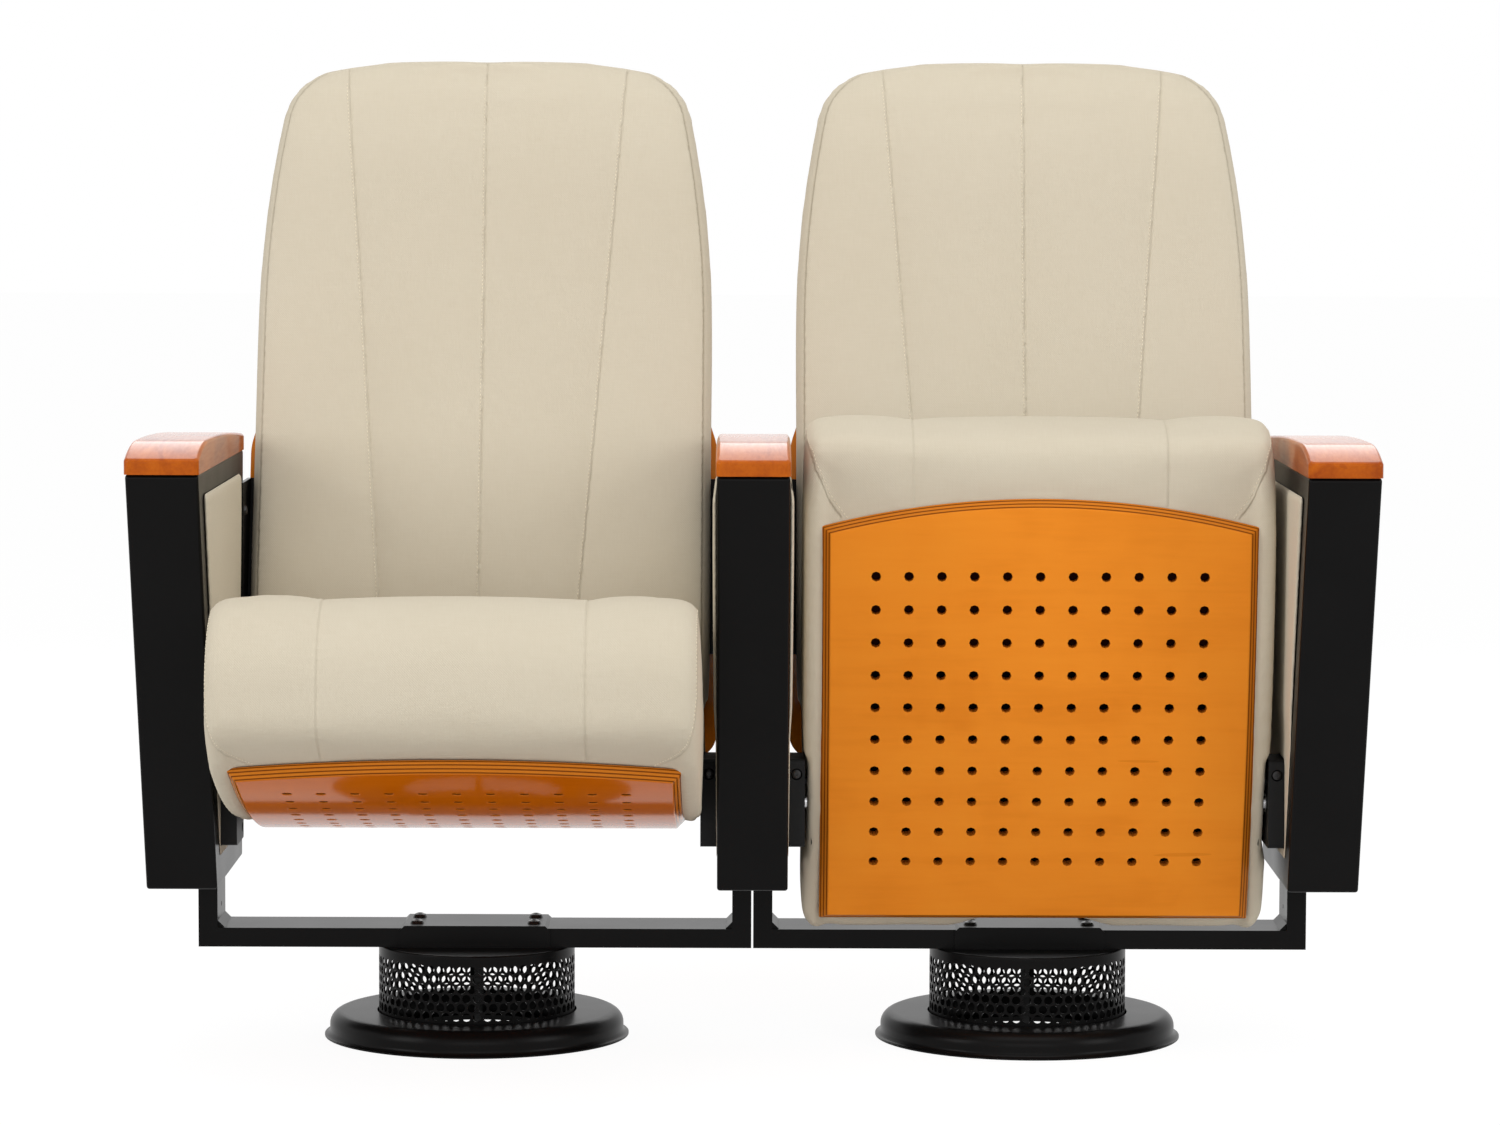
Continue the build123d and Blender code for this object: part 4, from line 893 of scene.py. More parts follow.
    def underneath(self, points: np.ndarray) -> np.ndarray:
        """1 where the panel hides the cushion, whose cloth is painted near black there as painted shade."""
        shape = self.shape
        depth = shape.panel_depth(points)
        inside = smooth_step(shape.panel_half - self.under_panel_shade_inset - np.abs(points[:, 0]), *self.under_panel_shade_side)
        run = shape.run(points)
        reach = shape.radius * (shape.front_angle - shape.rear_angle)
        behind = smooth_step(run, *self.under_panel_shade_front) * smooth_step(reach - run, *self.under_panel_shade_rear)
        return inside * behind * (depth < shape.thickness + shape.tray_height + self.under_panel_shade_inset)

    def seams(self, points: np.ndarray) -> list[Seam]:
        """The two long seams and the seam round each side."""
        lean = self.shape.lean(points)
        free = 1 - self.held(points)
        run = lean * self.mean_reach
        x = points[:, 0]
        ones, zeros = np.ones(len(points)), np.zeros(len(points))
        across = np.stack([ones, zeros, zeros], axis=1)
        # dark: strength of the painted shade along each seam's fold
        found = [Seam(x - way * self.shape.seam, run, free, across, dark=0.12) for way in (-1, 1)]
        weight = smooth_step(lean, *(radians(turn) for turn in self.side_start)) * free
        outward = np.stack([np.sign(x), zeros, zeros], axis=1)
        offset = (np.abs(x) - self.side_line(lean)) * self.side_slope
        found.append(Seam(offset, run, weight, outward, dark=0.35))
        return found

    def build(self) -> bpy.types.Object:
        """Make the cushion in its own frame.

        Returns:
            The cushion.
        """
        piece = self.copy_node("left_seat_cushion", "seat_cushion_form", Vector((PITCH / 2, 0, 0)))
        points = points_of(piece.data)
        self.shape_cloth(piece, self.held(points), points)
        points = points_of(piece.data)
        self.sew(piece, self.seams(points), np.random.default_rng(self.seed))
        # painted shade: the share of near-black colour where the panel hides the cushion
        store_share(piece, "under_panel_shade", self.underneath(points))
        set_points(piece.data, self.fill_out(points_of(piece.data)))
        return piece

    def stitch_rows(self, piece: bpy.types.Object, pitch: float) -> list[list[tuple[Vector, Vector]]]:
        """Points of the cloth along the seam round each side.

        Args:
            piece: The finished cushion.
            pitch: Distance between points.

        Returns:
            Rows of points with normals.
        """
        tree = BVHTree.FromObject(piece, bpy.context.evaluated_depsgraph_get())
        rows = []
        for way in (-1, 1):
            row, last = [], None
            for lean in np.arange(*(radians(turn) for turn in self.stitch_turns), self.stitch_search):
                x = way * (float(self.side_line(lean)) - self.stitch_inset)
                out = Vector((0.0, -cos(lean), sin(lean)))
                middle = Vector((x, self.shape.middle_y + SHIFT, self.shape.middle_z))
                hit, normal, _, _ = tree.ray_cast(middle + out * 0.5, -out)
                if hit is not None and (last is None or (hit - last).length >= pitch):
                    row.append((hit, normal))
                    last = hit
            rows.append(row)
        return rows


@dataclass(frozen=True)
class BackShape:
    """Sizes that the back's pieces share, with the back's middle at X = 0."""

    top: float = 1.024
    bottom: float = 0.308
    half: float = 0.2450        # half of its widest line
    waist_z: float = 0.740      # over this its sides draw in with the square of the height
    taper: float = 0.45
    shoulder_start: float = 0.966
    shoulder_round: float = 0.050
    shoulder_end: float = 0.985     # share of the rounding that the top reaches
    foot_round: float = 0.030
    edge: float = 0.009         # from the widest line in to the side seams
    seam_top: float = 0.152     # from the middle to the slanted seams
    seam_bottom: float = 0.094
    gusset: float = 0.052       # depth of the cloth between the side seams and the shell
    front_z: tuple[float, ...] = (0.308, 0.418, 0.520, 0.640, 0.760, 0.830, 0.930, 1.024)
    front_y: tuple[float, ...] = (0.058, 0.028, 0.047, 0.091, 0.139, 0.164, 0.195, 0.214)

    def width(self, z: np.ndarray) -> np.ndarray:
        """Half of the cushion's width at each height."""
        high = np.clip((z - self.shoulder_start) / self.shoulder_round, 0, self.shoulder_end)
        low = np.clip((self.bottom + self.foot_round - z) / self.foot_round, 0, 1)
        inset = self.shoulder_round * (1 - np.sqrt(1 - high ** 2))
        inset = inset + self.foot_round * (1 - np.sqrt(1 - low ** 2))
        return self.half - self.taper * np.maximum(0, z - self.waist_z) ** 2 - inset

    def seam_x(self, z: np.ndarray) -> np.ndarray:
        """How far from the middle the slanted seams are at each height."""
        slide = (self.top - z) / (self.top - self.bottom)
        return self.seam_top + (self.seam_bottom - self.seam_top) * slide


@dataclass
class BackCushion(Upholstery):
    """The back's cushion, made once and placed on both backs."""

    shape: BackShape = BackShape()
    shrink: float = 0.0004
    widen: float = 1.006
    rear_facing: float = 0.8        # faces that turn back this squarely rest on the board
    long_fade: tuple[float, float] = (0.3, 0.8)     # where the long seams fade out, by faces_front
    side_fade: tuple[float, float] = (0.0, 0.3)
    top_fade: tuple[float, float] = (0.004, 0.03)   # and the side seams below the top
    stitch_foot: float = 0.05       # from the cushion's foot to the first stitch
    stitch_head: float = 0.02
    stitch_inset: float = 0.0018    # from each seam to its stitches
    seed: int = 7

    def seams(self, points: np.ndarray) -> list[Seam]:
        """The three long seams, and the one where the front meets the gusset."""
        x, z = points[:, 0], points[:, 2]
        line = self.shape.seam_x(z)
        ones, zeros = np.ones(len(points)), np.zeros(len(points))
        face = smooth_step(self.faces_front(points), *self.long_fade)
        across = np.stack([ones, zeros, zeros], axis=1)
        # dark: strength of the painted shade along each seam's fold
        found = [Seam(x - way * line, z, face, across, dark=0.15) for way in (-1, 0, 1)]
        step = 0.0005
        slope = (self.shape.width(z + step) - self.shape.width(z - step)) / (2 * step)
        size = np.sqrt(1 + slope ** 2)
        offset = (np.abs(x) - self.shape.width(z) + self.shape.edge) / size
        across = np.stack([np.sign(x) / size, zeros, -slope / size], axis=1)
        below_top = smooth_step(self.shape.top - z, *self.top_fade)
        weight = below_top * smooth_step(self.faces_front(points), *self.side_fade)
        found.append(Seam(offset, z, weight, across, dark=0.7))
        return found

    def faces_front(self, points: np.ndarray) -> np.ndarray:
        """1 in front of the middle of the cushion's thickness, falling to 0 at its rear."""
        z = points[:, 2]
        front = np.interp(z, self.shape.front_z, self.shape.front_y) + SHIFT
        depth = points[:, 1] - front
        return smooth_step(-depth, -self.shape.gusset, -self.shape.gusset / 2)

    def build(self) -> bpy.types.Object:
        """Make the cushion in its own frame.

        Returns:
            The cushion.
        """
        piece = self.copy_node("left_back_cushion", "back_cushion_form", Vector((PITCH / 2, 0, 0)))
        points, normals = points_of(piece.data), normals_of(piece.data)
        held = (normals[:, 1] > self.rear_facing).astype(float)
        points[:, 0] *= self.widen
        set_points(piece.data, points)
        self.shape_cloth(piece, held, points)
        self.sew(piece, self.seams(points_of(piece.data)), np.random.default_rng(self.seed))
        return piece

    def stitch_rows(self, piece: bpy.types.Object, pitch: float) -> list[list[tuple[Vector, Vector]]]:
        """Points of the cloth beside each long seam.

        Args:
            piece: The finished cushion.
            pitch: Distance between points.

        Returns:
            Rows of points with normals.
        """
        tree = BVHTree.FromObject(piece, bpy.context.evaluated_depsgraph_get())
        rows = []
        for way in (-1, 0, 1):
            row = []
            foot, head = self.shape.bottom + self.stitch_foot, self.shape.top - self.stitch_head
            for z in np.arange(foot, head, pitch):
                x = way * float(self.shape.seam_x(z)) - self.stitch_inset
                hit, normal, _, _ = tree.ray_cast(Vector((x, -1.0, z)), Vector((0, 1, 0)))
                if hit is not None:
                    row.append((hit, normal))
            rows.append(row)
        return rows


@dataclass
class ArmPads(Upholstery):
    """The fabric covered pads on one arm's sides."""

    voxel: float = 0.0035
    crown: float = 0.0012           # by how much they swell in the middle
    heights: tuple[float, ...] = (0.0, 0.33, 0.42, 0.85)    # shares of the pads' height
    thin: tuple[float, ...] = (0.08, 0.08, 0.40, 0.66)      # and of the drawn thickness there

    def build(self, node: str, middle: float) -> bpy.types.Object:
        """Make the pads of one arm.

        Args:
            node: The CAD node they stand for.
            middle: The arm's place along the row.

        Returns:
            The pads.
        """
        piece = self.copy_node(node, node.replace("_arm_pads", "_arm_cloth_pads"), Vector())
        self.refine(piece)
        points, normals = points_of(piece.data), normals_of(piece.data)
        y, z = points[:, 1], points[:, 2]
        low, high = points.min(0), points.max(0)
        u = np.clip((y - low[1]) / (high[1] - low[1]), 0, 1)
        v = np.clip((z - low[2]) / (high[2] - low[2]), 0, 1)
        lift = self.crown * np.sin(pi * u) * np.sin(pi * v)
        out = np.sign(points[:, 0] - middle)
        reach = np.abs(points[:, 0] - middle)
        thin = np.interp(v, self.heights, self.thin)
        points[:, 0] = middle + out * (reach.min() + (reach - reach.min()) * thin)
        outward = smooth_step(normals[:, 0] * out, 0.2, 0.8)
        points[:, 0] += out * outward * lift
        set_points(piece.data, points)
        return piece


# ---- modelled wood and steel ---------------------------------------------------------------------


@dataclass
class SeatPanel:
    """The bent plywood panel under a seat, with its arched front edge, slanted rim and round holes."""

    shape: SeatShape = SeatShape()
    bevel: float = 0.009        # how far the rim slants out, and how deep
    columns: int = 11
    rows: int = 10
    pitch_x: float = 0.0332
    pitch_y: float = 0.0341
    first_row: float = 0.072    # from the crest of the front edge
    hole: float = 0.0050        # radius
    ring: float = 0.008         # width of the faces round each hole
    cuts: int = 3               # in each side of a hole's square
    edge_round: float = 0.0007
    sharp: float = 0.6          # edges steeper than this angle are rounded
    broad: float = 0.995        # faces that face this squarely in or out are the sheet's own

    @property
    def length(self) -> float:
        """The panel's length along the sheet."""
        shape = self.shape
        return shape.reach + shape.radius * (shape.front_angle - shape.rear_angle) + shape.tail

    def build(self) -> bpy.types.Object:
        """Make the panel with the seat down and its middle at X = 0.

        Returns:
            The panel.
        """
        shape = self.shape
        bm = self._sheet()
        grown = bmesh.ops.extrude_face_region(bm, geom=bm.faces[:])
        bmesh.ops.translate(bm, vec=(0, 0, shape.thickness), verts=verts_of(grown["geom"]))
        self._slant(bm)
        bmesh.ops.recalc_face_normals(bm, faces=bm.faces)
        rims = [edge for edge in bm.edges if edge.is_manifold and edge.calc_face_angle() > self.sharp]
        bmesh.ops.bevel(bm, geom=rims, offset=self.edge_round, segments=2, affect="EDGES", profile=0.5,
                        material=-1)
        places = np.array([vert.co[:] for vert in bm.verts])
        piece = from_bmesh("seat_panel_form", bm)
        store_place(piece, "sheet_place", places)
        angle = shape.front_angle - (places[:, 1] - shape.reach) / shape.radius
        radius = shape.radius + shape.drop - places[:, 2]
        y, z = shape.axis
        bent = np.stack([places[:, 0], y - radius * np.sin(angle), z - radius * np.cos(angle)], axis=1)
        set_points(piece.data, bent)
        keep_sharp(piece, 0.5)
        self._even_shading(piece.data)
        return piece

    def _even_shading(self, mesh: bpy.types.Mesh) -> None:
        """Shade the broad faces as one smooth bend, so that the holes leave its reflections even."""
        y, z = self.shape.axis
        wanted = [(0.0, 0.0, 0.0)] * len(mesh.loops)
        for face in mesh.polygons:
            away = Vector((0.0, face.center.y - y, face.center.z - z)).normalized()
            facing = face.normal.dot(away)
            if abs(facing) < self.broad:
                continue
            for corner in face.loop_indices:
                place = mesh.vertices[mesh.loops[corner].vertex_index].co
                normal = Vector((0.0, place.y - y, place.z - z)).normalized()
                wanted[corner] = tuple(normal if facing > 0 else -normal)
        mesh.normals_split_custom_set(wanted)

    def _sheet(self) -> bmesh.types.BMesh:
        """Make the flat outer face: a grid of holes, grown to the face's outline."""
        bm = bmesh.new()
        bmesh.ops.create_grid(bm, x_segments=self.columns, y_segments=self.rows, size=0.5)
        width, depth = self.columns * self.pitch_x, self.rows * self.pitch_y
        middle = self.shape.reach + self.first_row + (self.rows - 1) * self.pitch_y / 2
        bmesh.ops.scale(bm, vec=(width, depth, 1), verts=bm.verts)
        bmesh.ops.translate(bm, vec=(0, middle, 0), verts=bm.verts)
        bmesh.ops.subdivide_edges(bm, edges=bm.edges, cuts=self.cuts)
        cells = [face for face in bm.faces if len(face.verts) == 4 * (self.cuts + 1)]
        bmesh.ops.inset_individual(bm, faces=cells, thickness=self.ring)
        for face in cells:
            centre = face.calc_center_median()
            for vert in face.verts:
                vert.co = centre + (vert.co - centre).normalized() * self.hole
        bmesh.ops.delete(bm, geom=cells, context="FACES")
        for axis in (0, 1):
            self._grow(bm, axis)
        return bm

    def _grow(self, bm: bmesh.types.BMesh, axis: int) -> None:
        """Extend the sheet's two open sides to the face's outline.

        Args:
            bm: The flat sheet.
            axis: 0 for its sides, 1 for its front and rear.
        """
        values = [vert.co[axis] for vert in bm.verts]
        for limit, way in ((min(values), -1), (max(values), 1)):
            rim = [e for e in bm.edges if all(abs(v.co[axis] - limit) < TINY for v in e.verts)]
            fresh = verts_of(bmesh.ops.extrude_edge_only(bm, edges=rim)["geom"])
            for vert in fresh:
                vert.co[axis] = self._border(axis, way, vert.co.x)
            ladder = [e for v in fresh for e in v.link_edges
                      if abs(e.other_vert(v).co[axis] - limit) < TINY]
            bmesh.ops.subdivide_edges(bm, edges=list(set(ladder)), cuts=self.cuts, use_grid_fill=True)

    def _border(self, axis: int, way: int, x: float) -> float:
        """Where the outer face's outline is, on one axis."""
        if axis == 0:
            return way * (self.shape.panel_half - self.bevel)
        return self.length - self.bevel if way > 0 else self._front(x, self.bevel)

    def _front(self, x: float, inset: float) -> float:
        """Where the arched front edge is along the sheet, drawn in by an inset."""
        radius = self._arch_radius
        return radius - sqrt((radius - inset) ** 2 - x ** 2)

    @property
    def _arch_radius(self) -> float:
        """Radius of the front edge, seen square to the sheet."""
        return (self.shape.panel_half ** 2 + self.shape.arch ** 2) / (2 * self.shape.arch)

    def _slant(self, bm: bmesh.types.BMesh) -> None:
        """Spread the rim outwards below the outer face, slanted down to the square inner edge."""
        walls = [edge for edge in bm.edges if abs(edge.verts[0].co.z - edge.verts[1].co.z) > LEVEL
                 and self._outward(edge.verts[0].co) is not None]
        made = bmesh.ops.subdivide_edges(bm, edges=walls, cuts=1, use_grid_fill=True)["geom_inner"]
        for vert in verts_of(made):
            vert.co.z = self.bevel
        for vert in bm.verts:
            moved = self._outward(vert.co) if vert.co.z > LEVEL else None
            if moved is not None:
                vert.co.xy = moved

    def _outward(self, place: Vector) -> tuple[float, float] | None:
        """Where a point of the face's outline lies on the full outline, or None inside it."""
        x, run = place.x, place.y
        half = self.shape.panel_half
        at_side = abs(x) > half - self.bevel - CLOSE
        at_rear = run > self.length - self.bevel - CLOSE
        at_front = run < self._front(x, self.bevel) + CLOSE
        wide = (half if x > 0 else -half) if at_side else x
        if at_rear:
            return wide, self.length
        if at_front and not at_side:
            grow = self._arch_radius / (self._arch_radius - self.bevel)
            return x * grow, self._arch_radius + (run - self._arch_radius) * grow
        if at_side:
            return wide, self.shape.arch if at_front else run
        return None


@dataclass
class PiercedDrum:
    """The perforated sheet drum with its staggered round holes."""

    radius: float = 0.103
    sheet: float = 0.0016
    bottom: float = 0.005
    top: float = 0.094
    columns: int = 58
    rows: int = 6
    hole: float = 0.0045        # radius
    ring: float = 0.0005        # width of the faces round each hole, before it is rounded
    first_row: float = 0.0815   # height of the top row's middle

    def build(self) -> bpy.types.Object:
        """Make the drum about the Z axis.

        Returns:
            The drum.
        """
        pitch = tau * self.radius / self.columns
        step = pitch * sqrt(3) / 2
        bm = bmesh.new()
        bmesh.ops.create_circle(bm, cap_ends=True, segments=6, radius=pitch / sqrt(3))
        bmesh.ops.subdivide_edges(bm, edges=bm.edges, cuts=1)
        cell = bm.faces[:]
        bmesh.ops.inset_individual(bm, faces=cell, thickness=self.ring)
        for face in cell:
            for vert in face.verts:
                vert.co = vert.co.normalized() * self.hole
        bmesh.ops.delete(bm, geom=cell, context="FACES")
        self._repeat(bm, self.columns, Vector((pitch, 0, 0)), False)
        self._repeat(bm, self.rows, Vector((pitch / 2, -step, 0)), True)
        bmesh.ops.remove_doubles(bm, verts=bm.verts, dist=CLOSE)
        bmesh.ops.rotate(bm, verts=bm.verts, matrix=Matrix.Rotation(pi / 2, 3, "X"))
        bmesh.ops.translate(bm, verts=bm.verts, vec=(0, 0, self.first_row))
        self._close(bm, pitch)
        for vert in bm.verts:
            angle = vert.co.x / self.radius
            vert.co = Vector((self.radius * sin(angle), -self.radius * cos(angle), vert.co.z))
        bmesh.ops.remove_doubles(bm, verts=bm.verts, dist=2 * CLOSE)
        bmesh.ops.recalc_face_normals(bm, faces=bm.faces)
        bmesh.ops.solidify(bm, geom=bm.faces[:], thickness=self.sheet)
        piece = from_bmesh("pierced_drum_form", bm)
        keep_sharp(piece, 0.7)
        return piece

    @staticmethod
    def _repeat(bm: bmesh.types.BMesh, count: int, step: Vector, zigzag: bool) -> None:
        """Copy what is there in equal steps, each second one shifted back if it zigzags."""
        first = bm.verts[:] + bm.edges[:] + bm.faces[:]
        for index in range(1, count):
            made = bmesh.ops.duplicate(bm, geom=first)["geom"]
            shift = step * index
            if zigzag:
                shift.x = step.x * (index % 2)
            bmesh.ops.translate(bm, verts=verts_of(made), vec=shift)

    def _close(self, bm: bmesh.types.BMesh, pitch: float) -> None:
        """Run the sheet on from its outer rows of holes to plain straight edges."""
        heights = [vert.co.z for vert in bm.verts]
        reach = pitch / 3 + CLOSE
        for limit, level in ((max(heights), self.top), (min(heights), self.bottom)):
            near = [e for e in bm.edges if all(abs(v.co.z - limit) < reach for v in e.verts)]
            rim = [e for e in near if e.is_boundary and self._outer(e)]
            for vert in verts_of(bmesh.ops.extrude_edge_only(bm, edges=rim)["geom"]):
                vert.co.z = level

    def _outer(self, edge: bmesh.types.BMEdge) -> bool:
        """Whether a rim edge belongs to a cell's outline and not to a hole."""
        face = edge.link_faces[0]
        centre = face.calc_center_median()
        middle = (edge.verts[0].co + edge.verts[1].co) / 2
        if middle.z > self.first_row:
            return abs(middle.z - self.first_row) > abs(centre.z - self.first_row)
        return middle.z < centre.z


@dataclass
class BaseCover:
    """The spun steel cover round a drum's foot."""

    steps: int = 128
    outer: float = 0.160        # radius of its foot
    collar: float = 0.105       # radius of its hole
    height: float = 0.026
    sheet: float = 0.0016
    foot: float = 0.005         # level at which its collar stands
    shoulder: float = 0.014
    flare: float = 0.0055

    def line(self, inset: float) -> list[tuple[float, float]]:
        """The cover's outer line in section, or one inside it: shoulder, wall and flared foot."""
        wall = self.outer - self.flare
        shoulder, flare = self.shoulder - inset, self.flare + inset
        turns = [radians(turn) for turn in range(0, 91, 10)]
        x, z = wall - self.shoulder, self.height - self.shoulder
        top = [(x + shoulder * sin(turn), z + shoulder * cos(turn)) for turn in turns]
        low = self.sheet + self.flare
        return top + [(self.outer - flare * cos(turn), low - flare * sin(turn)) for turn in turns]

    def build(self) -> bpy.types.Object:
        """Spin the cover's section about the Z axis.

        Returns:
            The cover.
        """
        inner, wall = self.collar, self.collar + self.sheet
        section = [
            (inner, self.foot), (inner, self.height), *self.line(0.0), *reversed(self.line(self.sheet)),
            (wall, self.height - self.sheet), (wall, self.foot),
        ]
        bm = bmesh.new()
        verts = [bm.verts.new((x, 0, z)) for x, z in section]
        edges = [bm.edges.new(pair) for pair in zip(verts, verts[1:] + verts[:1])]
        bmesh.ops.spin(bm, geom=verts + edges, cent=(0, 0, 0), axis=(0, 0, 1), angle=tau, steps=self.steps,
                       use_merge=True)
        bmesh.ops.remove_doubles(bm, verts=bm.verts, dist=TINY)
        piece = from_bmesh("base_cover_form", bm)
        keep_sharp(piece, 0.9)
        return piece


# ---- the unit ------------------------------------------------------------------------------------


@dataclass
class Unit:
    """Both seats with their arms, frames and pedestals."""

    finishes: Finishes

    def place(self, form: bpy.types.Object, name: str, matrix: Matrix, body: str,
              material: bpy.types.Material, nodes: Sequence[str], slot: str) -> bpy.types.Object:
        """Put a copy of a form in its place and let it stand for its CAD nodes.

        Args:
            form: The finished form.
            name: The piece's name.
            matrix: Its place.
            body: The body it rides on.
            material: Its finish.
            nodes: The CAD nodes it stands for.
            slot: The record's material slot; not used.

        Returns:
            The piece.
        """
        piece = placed_copy(form, name, matrix)
        piece.data.materials.clear()
        piece.data.materials.append(material)
        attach(piece, body)
        if nodes:
            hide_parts(*nodes)
        LOG.info("placed %s with %d faces", name, len(piece.data.polygons))
        return piece

    @staticmethod
    def seat_places() -> list[tuple[str, Matrix]]:
        """The two seats' places: the left one down and the right one tipped up."""
        up = Matrix.Translation(PIVOT) @ Matrix.Rotation(-TIP, 4, "X") @ Matrix.Translation(-PIVOT)
        return [
            ("left", Matrix.Translation((-PITCH / 2, 0, 0))),
            ("right", Matrix.Translation((PITCH / 2, 0, 0)) @ up),
        ]

    def build_seats(self) -> None:
        """Make the cushions and panels of both seats."""
        maker = SeatCushion()
        cushion = maker.build()
        thread = Stitching()
        stitches = thread.lay("seat_stitch_form", maker.stitch_rows(cushion, thread.pitch))
        panel = SeatPanel().build()
        for side, matrix in self.seat_places():
            cloth = self.finishes.cloth if side == "left" else self.finishes.cloth_up
            body = side + "_seat"
            pad = self.place(cushion, side + "_seat_upholstery", matrix, body, cloth,
                             [side + "_seat_cushion"], "upholstery")
            self.place(stitches, side + "_seat_stitches", matrix, body, self.finishes.thread, [],
                       "upholstery")
            # the down seat's panel takes the copy darkened as painted shade
            wood = self.finishes.panel_down_shaded if side == "left" else self.finishes.panel_up
            self.place(panel, side + "_seat_plywood", matrix, body, wood,
                       [side + "_seat_panel"], "lacquered_plywood")
        discard(cushion, stitches, panel)

    def build_backs(self) -> None:
        """Make the cushions of both backs with their stitches."""
        maker = BackCushion()
        cushion = maker.build()
        thread = Stitching()
        stitches = thread.lay("back_stitch_form", maker.stitch_rows(cushion, thread.pitch))
        for side, x in (("left", -PITCH / 2), ("right", PITCH / 2)):
            matrix = Matrix.Translation((x, 0, 0))
            pad = self.place(cushion, side + "_back_upholstery", matrix, "stand", self.finishes.cloth,
                             [side + "_back_cushion"], "upholstery")
            self.place(stitches, side + "_back_stitches", matrix, "stand", self.finishes.thread, [],
                       "upholstery")
        discard(cushion, stitches)

    def build_arms(self) -> None:
        """Make the pads of the three arms."""
        for name, x in (("left", -PITCH), ("middle", 0.0), ("right", PITCH)):
            node = name + "_arm_pads"
            form = ArmPads().build(node, x)
            pads = self.place(form, name + "_arm_upholstery", Matrix.Identity(4), "stand",
                              self.finishes.cloth, [node], "upholstery")
            discard(form)

    def build_pedestals(self) -> None:
        """Make the drums and covers of both pedestals."""
        drum = PiercedDrum().build()
        cover = BaseCover().build()
        for side, x in (("left", -PITCH / 2), ("right", PITCH / 2)):
            matrix = Matrix.Translation((x, SHIFT, 0))
            self.place(drum, side + "_pierced_drum", matrix, "stand", self.finishes.satin,
                       [side + "_perforated_drum"], "black_steel")
            self.place(cover, side + "_spun_cover", matrix, "stand", self.finishes.satin,
                       [side + "_base_cover"], "black_steel")
        discard(drum, cover)


# ---- the studio ----------------------------------------------------------------------------------


@dataclass(frozen=True)
class Lamp:
    """One soft area lamp."""

    name: str
    place: Triple
    target: Triple
    size: tuple[float, float]
    power: float                # watts

    def hang(self) -> None:
        """Add the lamp to the scene, turned to its target."""
        data = bpy.data.lights.new(self.name, "AREA")
        data.shape = "RECTANGLE"
        data.size, data.size_y = self.size
        data.energy = self.power
        lamp = new_object(self.name, data)
        lamp.location = self.place
        aim = Vector(self.target) - Vector(self.place)
        lamp.rotation_mode = "QUATERNION"
        lamp.rotation_quaternion = aim.to_track_quat("-Z", "Y")


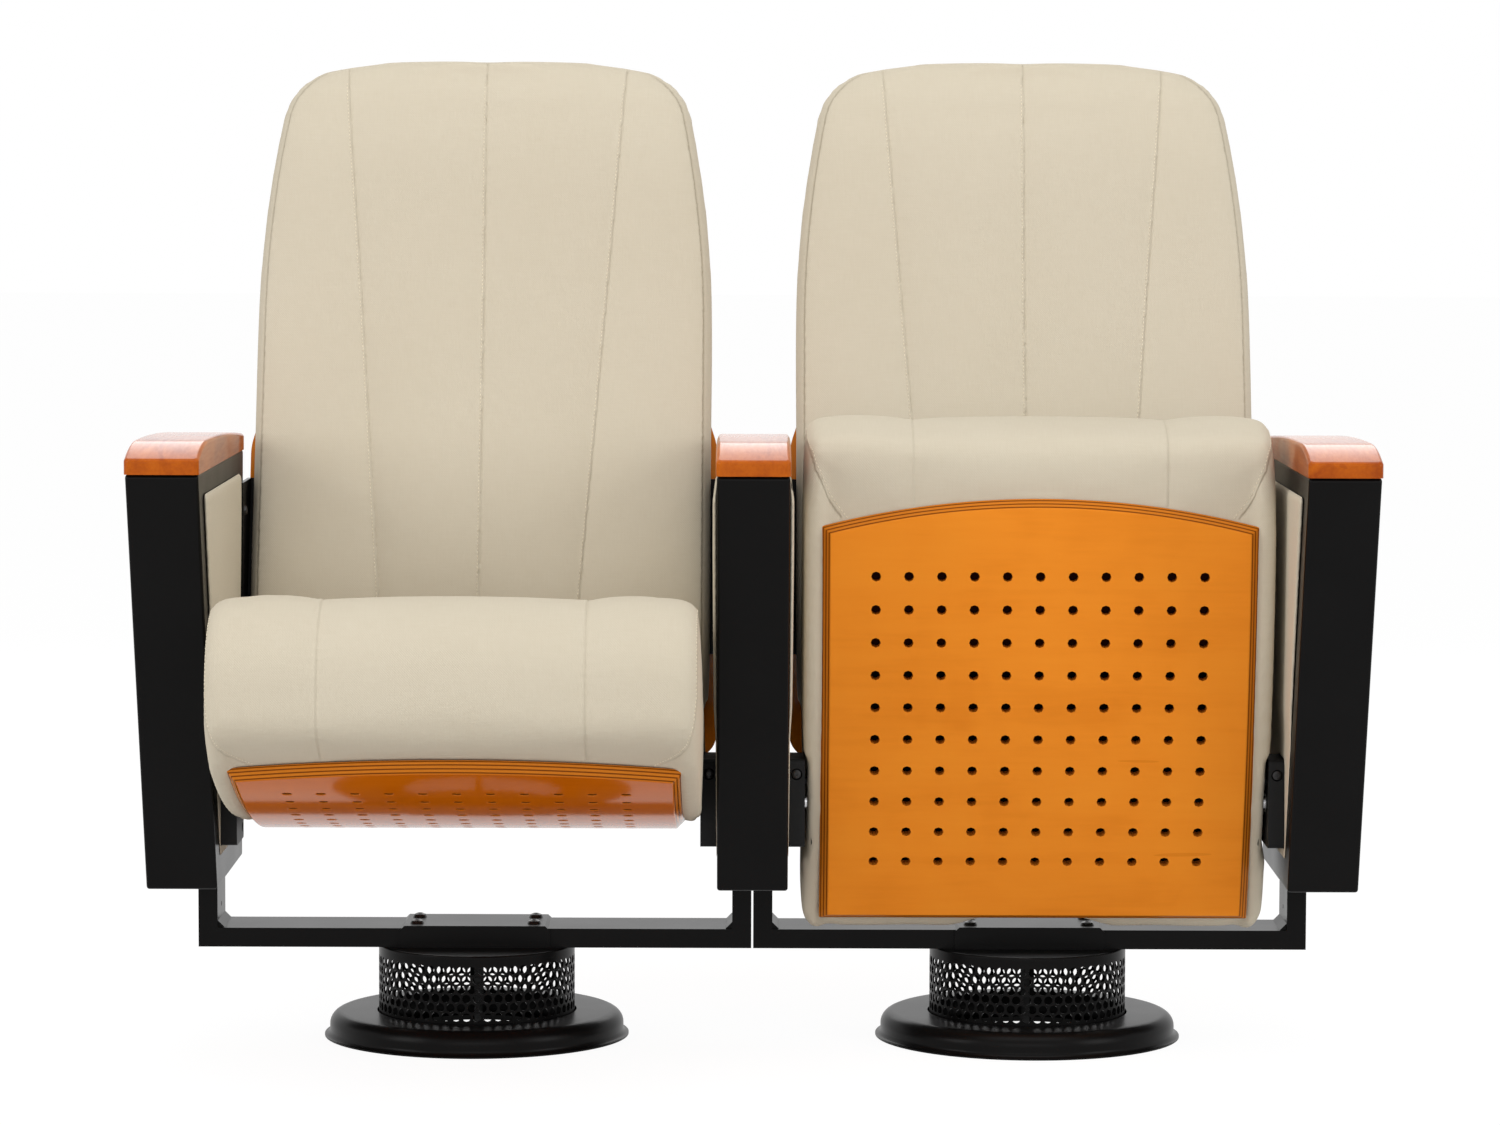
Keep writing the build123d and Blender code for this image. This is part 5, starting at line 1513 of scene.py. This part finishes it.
@dataclass
class Studio:
    """A pale floor, soft light and the camera."""

    focal_px: float = 5167.0
    image_width: float = 1500.0
    camera_height: float = 0.9195
    camera_distance: float = 5.397      # in front of the pedestals' axis
    pitch_down: float = radians(4.46)
    roll: float = radians(0.17)
    offset_px: float = 3.31
    sensor: float = 36.0        # millimetres
    clip: tuple[float, float] = (0.1, 100.0)
    floor_half: float = 30.0
    floor_level: float = -0.0005
    floor_shade: float = 0.72
    floor_glow: float = 1.08    # to the camera and in reflections
    glow_share: float = 0.86    # the rest is the lit floor, which keeps the shadow
    surround: float = 0.60      # soft light from all round
    lamps: tuple[Lamp, ...] = (
        Lamp("lamp_over", (0.0, -0.9, 3.2), (0.0, 0.0, 0.5), (3.2, 2.2), 36.0),
        Lamp("lamp_front", (0.0, -5.0, 1.2), (0.0, 0.0, 0.45), (4.2, 1.6), 34.0),
        Lamp("lamp_front_left", (-3.9, -2.4, 1.8), (0.0, 0.0, 0.6), (1.8, 2.2), 54.0),
        Lamp("lamp_front_right", (3.9, -2.4, 1.8), (0.0, 0.0, 0.6), (1.8, 2.2), 50.0),
        Lamp("lamp_rear", (0.0, 3.4, 2.4), (0.0, 0.2, 0.6), (3.0, 2.0), 34.0),
    )

    def build(self) -> None:
        """Make the camera, the floor, the world and the lamps."""
        self._camera()
        self._floor()
        self._world()
        for lamp in self.lamps:
            lamp.hang()
        bpy.context.scene.view_settings.view_transform = "Standard"

    def _camera(self) -> None:
        """Stand the camera where the photograph was taken."""
        data = bpy.data.cameras.new("camera")
        data.sensor_width = self.sensor
        data.lens = self.focal_px / self.image_width * data.sensor_width
        data.shift_x = -self.offset_px / self.image_width
        data.clip_start, data.clip_end = self.clip
        camera = new_object("camera", data)
        camera.matrix_world = (
            Matrix.Translation((0, SHIFT - self.camera_distance, self.camera_height))
            @ Matrix.Rotation(pi / 2 - self.pitch_down, 4, "X") @ Matrix.Rotation(self.roll, 4, "Z")
        )
        bpy.context.scene.camera = camera

    @staticmethod
    def _seen(graph: Graph) -> Signal:
        """1 for rays from the camera or from a reflection or through glass."""
        outputs = graph.add("ShaderNodeLightPath").socket.node.outputs
        rays = ("Is Camera Ray", "Is Glossy Ray", "Is Transmission Ray")
        camera, glossy, through = (Signal(graph, outputs[ray]) for ray in rays)
        return graph.maths("MAXIMUM", graph.maths("MAXIMUM", camera, glossy), through)

    @staticmethod
    def _light(graph: Graph, kind: str, strength: float) -> Signal:
        """White light of some strength."""
        return graph.add(kind, sockets={"Color": (1.0, 1.0, 1.0, 1.0), "Strength": strength})

    def _floor(self) -> None:
        """Lay a pale floor that keeps the object's shadow."""
        bm = bmesh.new()
        bmesh.ops.create_grid(bm, x_segments=1, y_segments=1, size=self.floor_half)
        bmesh.ops.translate(bm, verts=bm.verts, vec=(0, 0, self.floor_level))
        floor = from_bmesh("floor", bm)
        graph = Graph("pale_floor")
        matt = graph.add("ShaderNodeBsdfDiffuse", sockets={"Color": (*[self.floor_shade] * 3, 1.0)})
        glow = self._light(graph, "ShaderNodeEmission", self.floor_glow)
        share = self._seen(graph) * self.glow_share
        mixed = graph.add("ShaderNodeMixShader", sockets={0: share, 1: matt, 2: glow})
        graph.add("ShaderNodeOutputMaterial", sockets={"Surface": mixed})
        floor.data.materials.append(graph.material)

    def _world(self) -> None:
        """A soft white surround, plain white to the camera and in reflections."""
        world = bpy.data.worlds.new("studio")
        bpy.context.scene.world = world
        graph = Graph("studio", world)
        soft = self._light(graph, "ShaderNodeBackground", self.surround)
        plain = self._light(graph, "ShaderNodeBackground", 1.0)
        mixed = graph.add("ShaderNodeMixShader", sockets={0: self._seen(graph), 1: soft, 2: plain})
        graph.add("ShaderNodeOutputWorld", sockets={"Surface": mixed})


def main() -> None:
    """Build the studio and every piece, then note the sizes."""
    logging.basicConfig(level=logging.INFO, format="%(message)s")
    Studio().build()
    finishes = Finishes()
    finishes.dress_nodes()
    unit = Unit(finishes)
    unit.build_pedestals()
    unit.build_arms()
    unit.build_backs()
    unit.build_seats()


if __name__ == "__main__":
    main()
